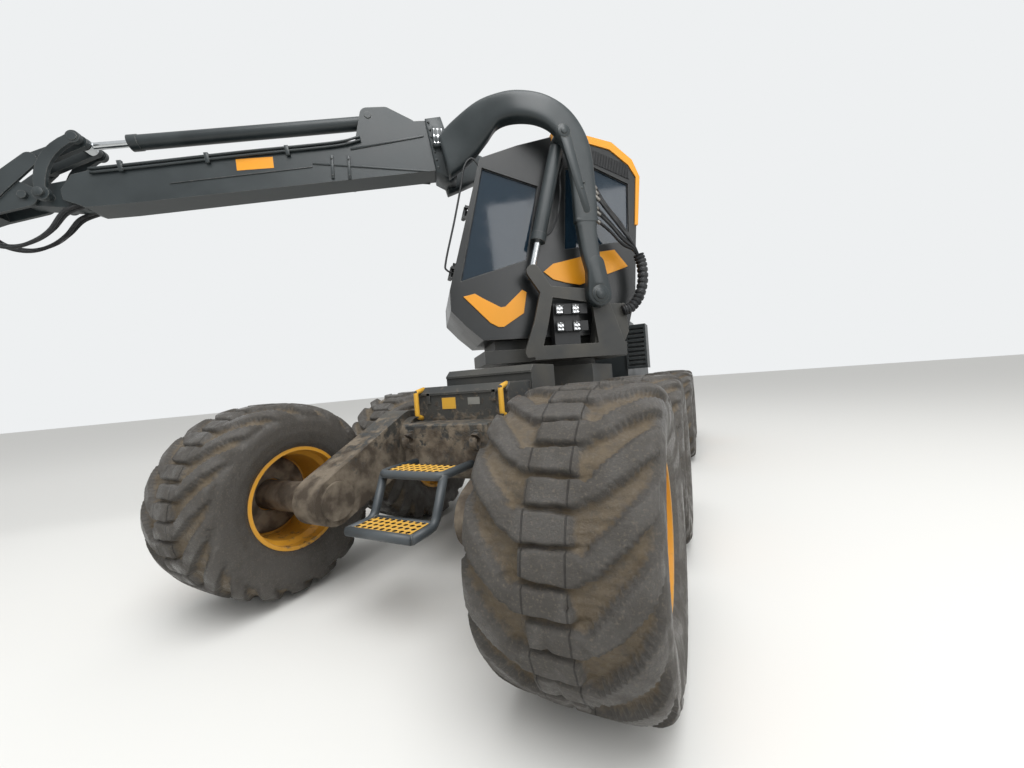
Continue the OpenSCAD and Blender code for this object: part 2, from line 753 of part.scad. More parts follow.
// Painted trim panels on the cab's sides
module cab_panels() {
    color("orange") slewed() both_sides(cab_w / 2 + slip, cab_w / 2 + 14) {
        polygon(raised([
            [1240, 490], [1110, 520], [1030, 470], [830, 360], [780, 365], [570, 550],
            [520, 520], [570, 285], [810, 140], [870, 140], [960, 190]
        ]));
        polygon(raised([
            [300, 750], [180, 840], [-90, 900], [-370, 970], [-600, 1000], [-760, 800],
            [-430, 690], [-130, 590], [40, 620], [190, 660]
        ]));
    }
}
module operator_seat() {
    z = cab_z + wall + slip;
    color([0.15, 0.15, 0.17]) slewed() {
        translate([0, 250, z]) cylinder(r = 150, h = 260);
        block([-250, 250], [-480, 60], [z + 259, z + 400]);
        side(-240, 240) polygon([
            [-380, z + 399], [-500, z + 399], [-640, z + 1130], [-560, z + 1160]
        ]);
        for (s = [-1, 1]) {
            x = s > 0 ? 255 : -395;
            block([x, x + 140], [-330, 200], [z + 540, z + 600]);
            block([x, x + 140], [-330, -250], [z + 300, z + 541]);
            block([s > 0 ? 245 : -265, s > 0 ? 265 : -245], [-330, -250],
                [z + 300, z + 400]);
        }
    }
}
// Work lamps, two by two behind each side bracket
module work_lamps() {
    color("silver") slewed() for (s = [-1, 1]) mirror([s < 0 ? 1 : 0, 0, 0]) {
        v = plate_v - 10;
        block([cab_w / 2 + 12, v], [-30, 270], [base_top + slip, cab_z + 350]);
        for (u = [20, 210], up = [90, 280]) {
            translate([v - 1, -u + 45, cab_z + up - 55]) cube([46, 90, 110]);
        }
    }
}

// Crane leg stations: [forward, up from cab_z, across, half depth, half thickness, lean],
// for a boom root root_rest forward and legs middle_rest from the middle
root_rest = 1286;
middle_rest = 874;
leg_way = [
    [-228, 500, 0, 82, 60, 90], [-165, 860, 0, 100, 60, 84],
    [-140, 1170, 0, 115, 60, 88], [-142, 1250, 0, 132, 60, 90],
    [-140, 1700, 0, 135, 60, 90], [-95, 2030, 0, 148, 62, 70],
    [50, 2295, -10, 152, 70, 48], [270, 2450, -50, 150, 90, 22],
    [520, 2540, -160, 150, 110, 6], [720, 2560, -290, 160, 118, -8],
    [880, 2500, -410, 205, 120, -20], [1090, 2370, -560, 235, 110, -26],
    [1300, 2230, -660, 240, 100, -12]
];
function leg_ring(s) = [
    for (i = [0:15]) let(
        t = i * 22.5 + 11.25,
        a = sign(cos(t)) * pow(abs(cos(t)), 0.55) * s[3],
        b = sign(sin(t)) * pow(abs(sin(t)), 0.55) * s[4]
    ) [
        (leg_v + leg_t / 2) * (1 + s[2] / middle_rest) + b,
        -(s[0] * (s[0] > 0 ? on_boom(boom_root, 0)[0] / root_rest : 1) - a * sin(s[5])),
        cab_z + s[1] + a * cos(s[5])
    ]
];
module leg_body() {
    n = 16;
    rings = [for (s = leg_way) leg_ring(s)];
    m = len(rings);
    polyhedron(
        points = [for (r = rings) for (p = r) p],
        faces = concat(
            [[for (i = [0:n - 1]) n - 1 - i]],
            [for (k = [0:m - 2], i = [0:n - 1]) let(j = (i + 1) % n)
                [k * n + i, k * n + j, (k + 1) * n + j]],
            [for (k = [0:m - 2], i = [0:n - 1]) let(j = (i + 1) % n)
                [k * n + i, (k + 1) * n + j, (k + 1) * n + i]],
            [[for (i = [0:n - 1]) (m - 1) * n + i]]
        )
    );
}
module gooseneck() {
    color("darkslategray") slewed() {
        for (s = [-1, 1]) mirror([s < 0 ? 1 : 0, 0, 0]) difference() {
            union() {
                leg_body();
                side(leg_v, leg_v + leg_t)
                    strap(leg_pin, leg_eye_r, [leg_pin[0] + 20, leg_pin[1] + 330], 95);
                disc(lift_high, 56, cyl_v + 50 + slip, leg_v + leg_t + 12);
                disc(lift_high, leg_pin_r - 15, cyl_v - 50, cyl_v + 51);
            }
            disc(leg_pin, leg_pin_r + fit, leg_v - 1, leg_v + leg_t + 1);
        }
        side(-boom_w / 2 - 30, boom_w / 2 + 30) polygon([
            on_boom(boom_root + 40, 400), on_boom(boom_root - 150, 390),
            on_boom(boom_root - 150, -250), on_boom(boom_root - 40, -330),
            on_boom(boom_root + 90, -300), on_boom(boom_root + 110, -120)
        ]);
        block([boom_w / 2 + 29, boom_w / 2 + 95], [1290, 1420],
            [cab_z + 2370, cab_z + 2600]);
    }
}
module main_boom() {
    color("darkslategray") slewed() difference() {
        union() {
            side(-boom_w / 2, boom_w / 2) polygon([
                on_boom(boom_root - 150 - slip, 380), on_boom(3950, 385),
                on_boom(3790, 330), on_boom(3500, boom_h / 2),
                on_boom(800, boom_tip_h / 2), on_boom(450, boom_tip_h / 2 - 60),
                on_boom(330, 0), on_boom(330, -100), on_boom(500, -boom_tip_h / 2),
                on_boom(800, -boom_tip_h / 2 - 10),
                on_boom(boom_root - 150 - slip, -boom_h / 2)
            ]);
            side(-knee_lug_w / 2, knee_lug_w / 2) {
                strap(on_boom(420, -20), 150, knee, 85);
                strap(on_boom(420, -20), 120, link_foot, 70);
            }
            both_sides(jib_cyl_r + 8, boom_w / 2) {
                strap(jib_cyl_low, 88, on_boom(3380, 120), 170);
                strap(jib_cyl_low, 88, on_boom(3640, 500), 80);
                strap(on_boom(3640, 500), 80, on_boom(3800, 250), 200);
                strap(on_boom(3640, 500), 80, on_boom(3380, 120), 170);
            }
            disc(jib_cyl_low, knee_pin_r, -boom_w / 2 - 8, boom_w / 2 + 8);
            disc(link_foot, knee_pin_r, -link_v - 50, link_v + 50);
            disc(knee, knee_pin_r, -boom_w / 2 + 4, boom_w / 2 - 4);
        }
    }
}

// Stands a child that points along +Z on a pin, pointing at an eye
module toward(pin, eye, v) {
    turn = atan2(eye[1] - pin[1], eye[0] - pin[0]);
    translate([v, -pin[0], pin[1]]) rotate([90 - turn, 0, 0]) children();
}
// Cylinder barrel with its eye, as long as len from pin to gland
module barrel(pin, eye, r, rod_r, v, len, pin_r) {
    difference() {
        union() {
            toward(pin, eye, v) translate([0, 0, 66]) cylinder(r = r, h = len - 66);
            toward(pin, eye, v) translate([0, 0, len - 90]) cylinder(r = r + 6, h = 90);
            disc(pin, pin_r + 32, v - 45, v + 45);
        }
        disc(pin, pin_r + fit, v - 46, v + 46);
        toward(pin, eye, v) translate([0, 0, 130]) cylinder(r = rod_r + fit, h = len);
    }
}
// Piston rod that starts inside the barrel and ends in its eye
module piston_rod(pin, eye, r, v, start, eye_r, eye_t, pin_r) {
    difference() {
        union() {
            toward(pin, eye, v) translate([0, 0, start])
                cylinder(r = r, h = norm(eye - pin) - start - eye_r / 2);
            disc(eye, eye_r, v - eye_t / 2, v + eye_t / 2);
        }
        disc(eye, pin_r + fit, v - eye_t, v + eye_t);
    }
}
lift_pin_r = leg_pin_r - 15;
lift_barrel_l = 1160;
jib_barrel_l = 2480;
module lift_barrels() {
    color("darkslategray") slewed() for (s = [-1, 1])
        barrel(lift_high, lift_low, lift_r, lift_rod_r, s * cyl_v, lift_barrel_l, lift_pin_r);
}
module lift_rods() {
    color("silver") slewed() for (s = [-1, 1])
        piston_rod(lift_high, lift_low, lift_rod_r, s * cyl_v, 410, 70, 90, lift_pin_r);
}
module jib_barrel() {
    color("darkslategray") slewed()
        barrel(jib_cyl_low, link_top, jib_cyl_r, jib_rod_r, 0, jib_barrel_l, knee_pin_r);
}
module jib_rod() {
    color("silver") slewed()
        piston_rod(jib_cyl_low, link_top, jib_rod_r, 0, 210, 66, 90, knee_pin_r);
}
// Pair of links, curved as an arc, from the boom's foot pin to the top joint
link_v = boom_w / 2 + near;
link_rise = 105;
function link_point(t) = let(
    along = link_top - link_foot,
    out = [-along[1], along[0]] / norm(along)
) link_foot + t * along - 4 * link_rise * t * (1 - t) * out;
link_bends = 8;
function link_edge(side_of) = [
    for (i = [0:link_bends]) link_point(i / link_bends) + side_of * (56 - 6 * i / link_bends)
        * [link_foot[1] - link_top[1], link_top[0] - link_foot[0]]
        / norm(link_top - link_foot)
];
function backwards(list) = [for (i = [len(list) - 1:-1:0]) list[i]];
module knee_links() {
    color("dimgray") slewed() for (s = [-1, 1]) mirror([s < 0 ? 1 : 0, 0, 0]) difference() {
        union() {
            side(link_v, link_v + 38) {
                polygon(concat(link_edge(-1), backwards(link_edge(1))));
                translate(link_foot) circle(72);
                translate(link_top) circle(62);
            }
            disc(link_top, 42, 100 + slip, link_v + 46);
        }
        disc(link_foot, knee_pin_r + fit, link_v - 1, link_v + 60);
    }
}
// Rocker from the jib's heel to the top joint
module knee_rocker() {
    color("dimgray") slewed() difference() {
        both_sides(50 + slip, 98) strap(rocker_pin, 72, link_top, 62);
        disc(rocker_pin, knee_pin_r + fit, -200, 200);
    }
}
module jib() {
    lo = jib_axis_up - jib_h / 2;
    hi = jib_axis_up + jib_h / 2;
    color("darkslategray") slewed() difference() {
        union() {
            side(-jib_w / 2, jib_w / 2) polygon([
                on_jib(330, hi), on_jib(jib_l, hi), on_jib(jib_l, lo), on_jib(330, lo)
            ]);
            both_sides(knee_lug_w / 2 + slip, jib_w / 2) {
                strap(knee, 110, on_jib(420, jib_axis_up), 130);
                strap(knee, 110, on_jib(120, 190), 70);
                strap(on_jib(120, 190), 70, on_jib(420, jib_axis_up + 20), 130);
            }
            both_sides(99, 122) {
                strap(rocker_pin, 70, on_jib(160, 160), 90);
                strap(on_jib(160, 160), 90, on_jib(420, jib_axis_up), 120);
            }
            disc(rocker_pin, knee_pin_r, -122, 122);
        }
        side(-jib_w / 2 + jib_wall, jib_w / 2 - jib_wall) polygon([
            on_jib(420, hi - jib_wall), on_jib(jib_l + 1, hi - jib_wall),
            on_jib(jib_l + 1, lo + jib_wall), on_jib(420, lo + jib_wall)
        ]);
        disc(knee, knee_pin_r + fit, -200, 200);
    }
}
module telescope() {
    lo = jib_axis_up - tele_h / 2;
    hi = jib_axis_up + tele_h / 2;
    color("dimgray") slewed() difference() {
        union() {
            side(-tele_w / 2, tele_w / 2) polygon([
                on_jib(620, hi), on_jib(jib_l + 140, hi),
                on_jib(jib_l + 140, jib_axis_up), on_jib(jib_l + 40, lo), on_jib(620, lo)
            ]);
            both_sides(46, tele_w / 2)
                strap(on_jib(jib_l + 130, jib_axis_up), 80, tip, 70);
        }
        disc(tip, 32 + fit, -200, 200);
    }
}
// Hanging link with a cross pin for each swing
module head_link() {
    color("dimgray") slewed() {
        disc(tip, 32, -tele_w / 2, tele_w / 2);
        disc(tip, 62, -44, 44);
        translate([-40, -tip[0] - 45, swing[1] + 20]) cube([80, 90, tip[1] - swing[1] - 60]);
        translate([0, -swing[0] - 45, swing[1]]) rotate([-90, 0, 0]) cylinder(r = 55, h = 90);
        translate([0, -swing[0] - 85, swing[1]]) rotate([-90, 0, 0]) cylinder(r = 28, h = 170);
    }
}
module rotator() {
    color("dimgray") slewed() difference() {
        translate([0, -swing[0], 0]) union() {
            for (s = [-1, 1]) translate([0, s > 0 ? 45 + slip : -75, 0]) rotate([-90, 0, 0])
                translate([0, -swing[1], 0]) linear_extrude(30 - slip) {
                    circle(56);
                    translate([-56, 0]) square([112, swing[1] - rotor_top + 1]);
                }
            translate([0, 0, rotor_top - rotor_h]) cylinder(r = 130, h = rotor_h);
        }
        translate([0, -swing[0] - 100, swing[1]]) rotate([-90, 0, 0])
            cylinder(r = 28 + fit, h = 200);
    }
}
// Yoke that turns under the rotator and carries the head between its arms
module head_yoke() {
    arm = head_w / 2 + 2;
    color("dimgray") slewed() translate([0, -tilt[0], 0]) {
        translate([0, 0, yoke_z - 40]) cylinder(r = 130, h = 40);
        translate([-arm - 50, -110, yoke_z - 100]) cube([2 * arm + 100, 220, 62]);
        for (s = [-1, 1]) {
            x = s > 0 ? arm : -arm - 50;
            translate([x, -110, tilt[1]]) cube([50, 220, yoke_z - 99 - tilt[1]]);
            translate([x, 0, tilt[1]]) rotate([0, 90, 0]) cylinder(r = 110, h = 50);
            translate([s > 0 ? x - 60 : x, 0, tilt[1]]) rotate([0, 90, 0])
                cylinder(r = 45, h = 110);
        }
    }
}
module head_frame() {
    u0 = tilt[0] - head_l * 0.55;
    u1 = tilt[0] + head_l * 0.45;
    hw = head_w / 2 - slip;
    color([0.2, 0.22, 0.22]) slewed() difference() {
        union() {
            side(-hw, hw) polygon([
                [u0, head_top - 60], [u0 + 90, head_top], [u1 - 200, head_top],
                [u1, head_top - 90], [u1, head_top - head_h], [u0, head_top - head_h]
            ]);
            both_sides(hw - 70, hw) strap(tilt, 100, [tilt[0], head_top - 80], 150);
            side(-hw + 40, hw - 40) translate([u0 - 60, head_top - 760]) square([100, 700]);
            side(-60, 60) translate([u1 - 40, head_top - head_h - 120]) square([40, 130]);
            for (s = [-1, 1]) {
                translate([s * roller_v, -tilt[0], roller_z + roller_l / 2 + slip])
                    cylinder(r = 90, h = 90);
                translate([s * roller_v, -tilt[0], roller_z - roller_l / 2])
                    cylinder(r = 40, h = roller_l + 1);
                on_knife_pin(s, u1 - 60, u1, 50);
                on_knife_pin(s, u1 - 61, knife_u + knife_t * 1.5 + near, knife_pin_r);
            }
        }
        side(-hw * 3, hw * 3) translate(tilt) circle(45 + fit);
    }
}
knife_v = head_w / 2 + 30;
knife_pin_r = 30;
knife_u = tilt[0] + head_l * 0.45 + 30;
module on_knife_pin(hand, from, to, r) {
    translate([hand * knife_v, -from, knife_z]) rotate([90, 0, 0])
        cylinder(r = r, h = to - from);
}
// Delimbing knife: a sickle hung beside the frame, closing round a stem below it
module knife(hand, u) {
    v = knife_v;
    color([0.25, 0.26, 0.26]) slewed() mirror([hand < 0 ? 1 : 0, 0, 0])
        translate([0, -u + knife_t / 2, 0]) rotate([90, 0, 0]) linear_extrude(knife_t)
            difference() {
                union() {
                    translate([v, knife_z]) circle(58);
                    translate([0, knife_z - 230]) circle(310);
                }
                translate([0, knife_z - 230]) circle(235);
                translate([-400, knife_z - 700]) square([440, 1100]);
                translate([-1, knife_z - 30]) square([v - 60, 400]);
                translate([v, knife_z]) circle(knife_pin_r + fit);
            }
}
module left_knife() { knife(1, knife_u); }
module right_knife() { knife(-1, knife_u + knife_t + near); }
module roller(hand) {
    color("dimgray") slewed() translate([hand * roller_v, -tilt[0], roller_z]) difference() {
        translate([0, 0, -roller_l / 2]) cylinder(r = roller_r - 40, h = roller_l);
        translate([0, 0, -roller_l]) cylinder(r = 40 + fit, h = 2 * roller_l);
    }
}
module left_roller() { roller(1); }
module right_roller() { roller(-1); }

front_frame();
front_axle();
front_bogie_cases();
front_ladder();
front_boxes();
middle_frame();
rear_frame();
rear_axle();
rear_bogie_cases();
engine_block();
engine_hood();
hood_louvres();
for (a = axles) {
    at_wheel(1, a[1]) tyre();
    at_wheel(-1, a[1]) tyre();
    at_wheel(1, a[1]) rim();
    at_wheel(-1, a[1]) rim();
}
slew_base();
cab_shell();
cab_roof();
cab_panels();
cab_door();
door_glass();
cab_glass();
operator_seat();
work_lamps();
gooseneck();
main_boom();
lift_barrels();
lift_rods();
jib_barrel();
jib_rod();
knee_rocker();
knee_links();
jib();
telescope();
head_link();
rotator();
head_yoke();
head_frame();
left_knife();
right_knife();
left_roller();
right_roller();
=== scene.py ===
# %% [markdown]
# # A forestry harvester, dressed for its portrait
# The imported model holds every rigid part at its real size. This file adds what a
# camera sees on top of it: tread, hoses, seams, mud and paint. It is read in steps,
# each with a few words on what the piece is, how it could be made, and why it was
# made this way.

# %% Load the frame
import math

import bpy
import numpy as np
from mathutils import Matrix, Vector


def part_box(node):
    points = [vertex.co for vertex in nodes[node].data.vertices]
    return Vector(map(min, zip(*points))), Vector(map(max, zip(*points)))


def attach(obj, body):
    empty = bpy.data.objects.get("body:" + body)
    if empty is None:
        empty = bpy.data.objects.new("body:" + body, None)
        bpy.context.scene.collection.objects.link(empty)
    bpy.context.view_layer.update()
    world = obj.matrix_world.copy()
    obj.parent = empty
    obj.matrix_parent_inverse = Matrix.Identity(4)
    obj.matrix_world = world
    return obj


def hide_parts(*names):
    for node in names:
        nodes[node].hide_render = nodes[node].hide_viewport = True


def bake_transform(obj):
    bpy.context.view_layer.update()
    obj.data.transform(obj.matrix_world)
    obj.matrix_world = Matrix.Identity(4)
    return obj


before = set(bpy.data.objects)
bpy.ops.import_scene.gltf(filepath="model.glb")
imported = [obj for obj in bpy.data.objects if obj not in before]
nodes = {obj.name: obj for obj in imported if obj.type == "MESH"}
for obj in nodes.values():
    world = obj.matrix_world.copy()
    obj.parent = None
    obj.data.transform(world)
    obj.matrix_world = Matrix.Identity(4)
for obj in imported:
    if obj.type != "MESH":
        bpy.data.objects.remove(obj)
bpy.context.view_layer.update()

scene = bpy.context.scene
print("nodes in the frame:", len(nodes))

# %% [markdown]
# ## The camera
# The photo was taken with a very wide lens, low down and close to the left front
# wheel. Its place, turn and focal length were solved from the ellipses of the two
# front tyres and the horizon. The lens is given in pixels of the 1024 pixel frame.

# %% Camera
photo_w = 1024
focal_px = 385.0
camera_at = np.array([1.673, -4.843, 1.369])
yaw, pitch, roll = np.radians([26.08, -0.45, -4.34])


def camera_axes(yaw, pitch, roll):
    """Right, up and forward of a camera that looks along +Y when all turns are 0."""
    level = np.cos(pitch)
    forward = np.array([-np.sin(yaw) * level, np.cos(yaw) * level, np.sin(pitch)])
    right = np.array([np.cos(yaw), np.sin(yaw), 0.0])
    up = np.cross(right, forward)
    tilted_right = np.cos(roll) * right + np.sin(roll) * up
    tilted_up = np.cos(roll) * up - np.sin(roll) * right
    return tilted_right, tilted_up, forward


right, up, forward = camera_axes(yaw, pitch, roll)
turn = np.eye(4)
turn[:3] = np.stack([right, up, -forward, camera_at], 1)
lens = bpy.data.cameras.new("camera")
lens.sensor_width = 36.0
lens.lens = focal_px / photo_w * lens.sensor_width
lens.clip_end = 200.0
camera = bpy.data.objects.new("camera", lens)
camera.matrix_world = Matrix(turn.tolist())
scene.collection.objects.link(camera)
scene.camera = camera
print("lens in millimetres:", round(lens.lens, 2))

# %% [markdown]
# ## Floor and light
# A studio like a white tent: the world lights softly from all round, one big lamp
# overhead gives the top surfaces their lift, and the floor is a pale sheet that
# keeps the shadow. What the camera sees of the world is brighter than what lights
# the machine, so the background stays pale and the paint keeps its written colour.

# %% Colours and nodes
def shade(hex_code):
    """A linear RGBA colour from an sRGB hex code."""
    srgb = np.array([int(hex_code[i:i + 2], 16) for i in (1, 3, 5)]) / 255.0
    linear = np.where(srgb <= 0.04045, srgb / 12.92, ((srgb + 0.055) / 1.055) ** 2.4)
    return (*linear.tolist(), 1.0)


def add(tree, kind, *values, out=0, ins=None, **settings):
    """Adds a shader node and returns one of its outputs.

    Values fill or link its inputs in order, None leaves one alone, ins does the same by name
    or number, and settings are its properties."""
    made = tree.nodes.new("ShaderNode" + kind)
    for key, value in settings.items():
        setattr(made, key, value)
    for key, value in [*enumerate(values), *(ins or {}).items()]:
        if isinstance(value, bpy.types.NodeSocket):
            tree.links.new(value, made.inputs[key])
        elif value is not None:
            made.inputs[key].default_value = value
    return made.outputs[out] if made.outputs else None


print("mid grey in linear colour:", shade("#808080"))

# %% World
world = bpy.data.worlds.new("tent")
scene.world = world
world.use_nodes = True
sky = world.node_tree
sky.nodes.clear()
seen = add(sky, "LightPath", out="Is Camera Ray")
for ray in ("Is Glossy Ray", "Is Transmission Ray"):
    seen = add(sky, "Math", seen, add(sky, "LightPath", out=ray), operation="MAXIMUM")
overhead = add(sky, "SeparateXYZ", add(sky, "TexCoord", out="Generated"), out="Z")
dome = add(sky, "MapRange", overhead, 0.0, 0.7, 0.42, 0.78)
dim = add(sky, "Background", shade("#FFFFFF"), dome)
pale = add(sky, "Background", shade("#EEF0F1"), 1.0)
add(sky, "OutputWorld", add(sky, "MixShader", seen, dim, pale))
print("nodes in the sky:", len(sky.nodes))

# %% Floor and lamps
FLOOR_HALF = 60.0
floor_mesh = bpy.data.meshes.new("floor")
corners = FLOOR_HALF * np.array([(-1, -1, 0), (1, -1, 0), (1, 1, 0), (-1, 1, 0)])
floor_mesh.from_pydata(corners.tolist(), [], [(0, 1, 2, 3)])
floor = bpy.data.objects.new("floor", floor_mesh)
scene.collection.objects.link(floor)
floor_paint = bpy.data.materials.new("pale floor")
floor_paint.use_nodes = True
floor_shader = floor_paint.node_tree.nodes["Principled BSDF"]
floor_shader.inputs["Base Color"].default_value = shade("#DDDDDA")
floor_shader.inputs["Roughness"].default_value = 0.9
floor_mesh.materials.append(floor_paint)


def lamp(name, place, aim, size, watts):
    """A square soft lamp at place, facing aim."""
    data = bpy.data.lights.new(name, "AREA")
    data.shape = "SQUARE"
    data.size = size
    data.energy = watts
    made = bpy.data.objects.new(name, data)
    away = np.array(place, float) - np.array(aim, float)
    made.location = place
    made.rotation_euler = (math.acos(away[2] / np.linalg.norm(away)), 0,
                           math.atan2(away[1], away[0]) + math.pi / 2)
    scene.collection.objects.link(made)


lamp("overhead", (3.0, -6.0, 12.0), (-1.0, -1.0, 1.5), 9.0, 1300.0)
lamp("side", (11.0, -7.0, 6.0), (0.0, 0.0, 1.5), 6.0, 380.0)
scene.view_settings.view_transform = "Standard"

# %% [markdown]
# ## Finishes
# Everything on this machine is one of a few things: painted steel, rubber, glass,
# polished steel, and mud over all of them. Mud is the finish that ties the picture
# together, so it is one recipe that every other finish shares: it lies thicker low
# down, it gathers in blotches that noise gives, and it is rough where paint is not.

# %% Starting a material
def fresh(name):
    """A new material: returns it, its tree, its Principled shader and its object coordinates."""
    made = bpy.data.materials.new(name)
    made.use_nodes = True
    tree = made.node_tree
    return made, tree, tree.nodes["Principled BSDF"], add(tree, "TexCoord", out="Object")


def near_edges(tree, radius_m):
    """How close a point is to a sharp edge: 0 on flats, 1 on the edge. It compares the
    surface's own normal with the normal of a surface rounded by radius_m."""
    rounded = add(tree, "Bevel", radius_m, samples=4)
    flat = add(tree, "NewGeometry", out="Normal")
    along = add(tree, "VectorMath", rounded, flat, out="Value", operation="DOT_PRODUCT")
    return add(tree, "MapRange", along, 0.99, 0.86, 0.0, 1.0)


def relief(tree, shader, height_m, soft_edge_m=0.0):
    """Bumps the shader by a height in metres, over edges rounded by soft_edge_m."""
    normal = add(tree, "Bevel", soft_edge_m, samples=4) if soft_edge_m else None
    bump = add(tree, "Bump", ins={"Height": height_m, "Distance": 1.0, "Normal": normal})
    tree.links.new(bump, shader.inputs["Normal"])


# %% Mud over a finish
MUD_DRY = shade("#776D5F")
MUD_WET = shade("#463D33")
MUD_ROUGH = 0.88
MUD_LIMIT = 0.82
MUD_CRUST_M = 0.006
# A Mix node for colours takes them on its inputs 6 and 7 and gives the result on output 2
COLOURS = {"out": 2, "data_type": "RGBA"}


def muddied(tree, where, colour, rough, amount, low_z, high_z):
    """Lays mud on a colour and a roughness, and returns both with the share covered.

    The mud lies where blotches of 450 mm and 60 mm together pass a limit. The limit is lowest
    at low_z, by amount, and rises to high_z."""
    height = add(tree, "SeparateXYZ", where, out="Z")
    low = add(tree, "MapRange", height, low_z, high_z, amount * 0.6, amount * 0.12)
    wide = add(tree, "TexNoise", where, None, 1 / 0.45, 6.0, 0.6)
    small = add(tree, "TexNoise", where, None, 1 / 0.06, 5.0, 0.65)
    heap = add(tree, "Math", add(tree, "Mix", 0.4, wide, small), low, operation="ADD")
    excess = add(tree, "Math", heap, MUD_LIMIT, operation="SUBTRACT")
    cover = add(tree, "MapRange", excess, -0.03, 0.06)
    tone = add(tree, "MapRange", add(tree, "TexNoise", where, None, 1 / 0.11, 4.0), 0.38, 0.62)
    mud = add(tree, "Mix", tone, ins={6: MUD_WET, 7: MUD_DRY}, **COLOURS)
    out_colour = add(tree, "Mix", cover, ins={6: colour, 7: mud}, **COLOURS)
    out_rough = add(tree, "Mix", cover, ins={2: rough, 3: MUD_ROUGH})
    return out_colour, out_rough, cover


# %% [markdown]
# ## Painted steel
# The crane and cab are steel plate and castings, sprayed with a two-part paint and
# then years in the forest. Colour alone would look like plastic, so the paint gets a
# faint cloudiness, fine dust, brighter rubbed edges and shallow orange peel.

# %% Painted steel
RUBBED_M = 0.010
SOFT_EDGE_M = 0.006
PEEL_M = 0.0004


def painted(name, base, dust, rough, mud, wear=0.5):
    """Paint with dust, rubbed edges and mud. Wear is how strongly the edges show, and mud is
    its amount and the two heights between which it gets less."""
    made, tree, shader, where = fresh(name)
    cloud = add(tree, "TexNoise", where, None, 1 / 0.5, 5.0)
    cloud = add(tree, "MapRange", cloud, 0.35, 0.7, 0.0, 0.5)
    body = add(tree, "Mix", cloud, ins={6: shade(base), 7: shade(dust)}, **COLOURS)
    scratch = add(tree, "TexNoise", where, None, 1 / 0.012, 3.0, 0.7)
    scratch = add(tree, "MapRange", scratch, 0.35, 0.6, 0.0, wear)
    rubbed = add(tree, "Math", near_edges(tree, RUBBED_M), scratch, operation="MULTIPLY")
    body = add(tree, "Mix", rubbed, ins={6: body, 7: shade("#8C8A84")}, **COLOURS)
    matt = add(tree, "Math", cloud, 0.25, rough, operation="MULTIPLY_ADD")
    colour, roughness, cover = muddied(tree, where, body, matt, *mud)
    tree.links.new(colour, shader.inputs["Base Color"])
    tree.links.new(roughness, shader.inputs["Roughness"])
    grit = add(tree, "TexNoise", where, None, 1 / 0.018, 6.0, 0.7)
    crust = add(tree, "Math", cover, grit, operation="MULTIPLY")
    crust = add(tree, "Math", crust, MUD_CRUST_M, operation="MULTIPLY")
    peel = add(tree, "TexNoise", where, None, 1 / 0.004, 2.0)
    height = add(tree, "Math", peel, PEEL_M, crust, operation="MULTIPLY_ADD")
    relief(tree, shader, height, SOFT_EDGE_M)
    return made


crane_paint = painted("slate crane paint", "#1F2628", "#3B4244", 0.34, (0.25, 1.5, 4.5))
frame_paint = painted("muddy frame paint", "#2A2C2C", "#5C584F", 0.55, (1.30, 0.4, 2.1))
hood_paint = painted("dark hood paint", "#202527", "#3A3F40", 0.38, (0.45, 0.9, 2.2))
cab_paint = painted("black cab paint", "#0E1112", "#222526", 0.30, (0.2, 1.6, 3.4))
yellow_paint = painted("warm yellow paint", "#E2940A", "#CF9224", 0.36, (0.25, 1.6, 3.4),
                       wear=0.35)
ladder_paint = painted("ladder yellow paint", "#D9A429", "#B99A58", 0.60, (0.60, 0.4, 1.4))
tube_paint = painted("worn tube paint", "#363D42", "#5B5F60", 0.38, (0.45, 0.4, 1.4))
rim_paint = painted("ochre rim paint", "#D79A2E", "#B98A3A", 0.42, (0.9, 0.2, 1.1))
print("paints:", [paint.name for paint in bpy.data.materials if paint.name.endswith("paint")])

# %% [markdown]
# ## Rubber, glass and bare steel
# Tyre rubber is moulded and nearly black when new. Here it is grey with dried mud and
# shines in patches where it is wet. The panes are tinted safety glass: dark, smooth
# and a little see-through. Piston rods are ground steel under hard chrome.

# %% Rubber
def middle_of(node):
    """The middle of a node's box."""
    low, high = np.array(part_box(node))
    return (low + high) / 2


TRACK_HALF = middle_of("rim_l1")[0]


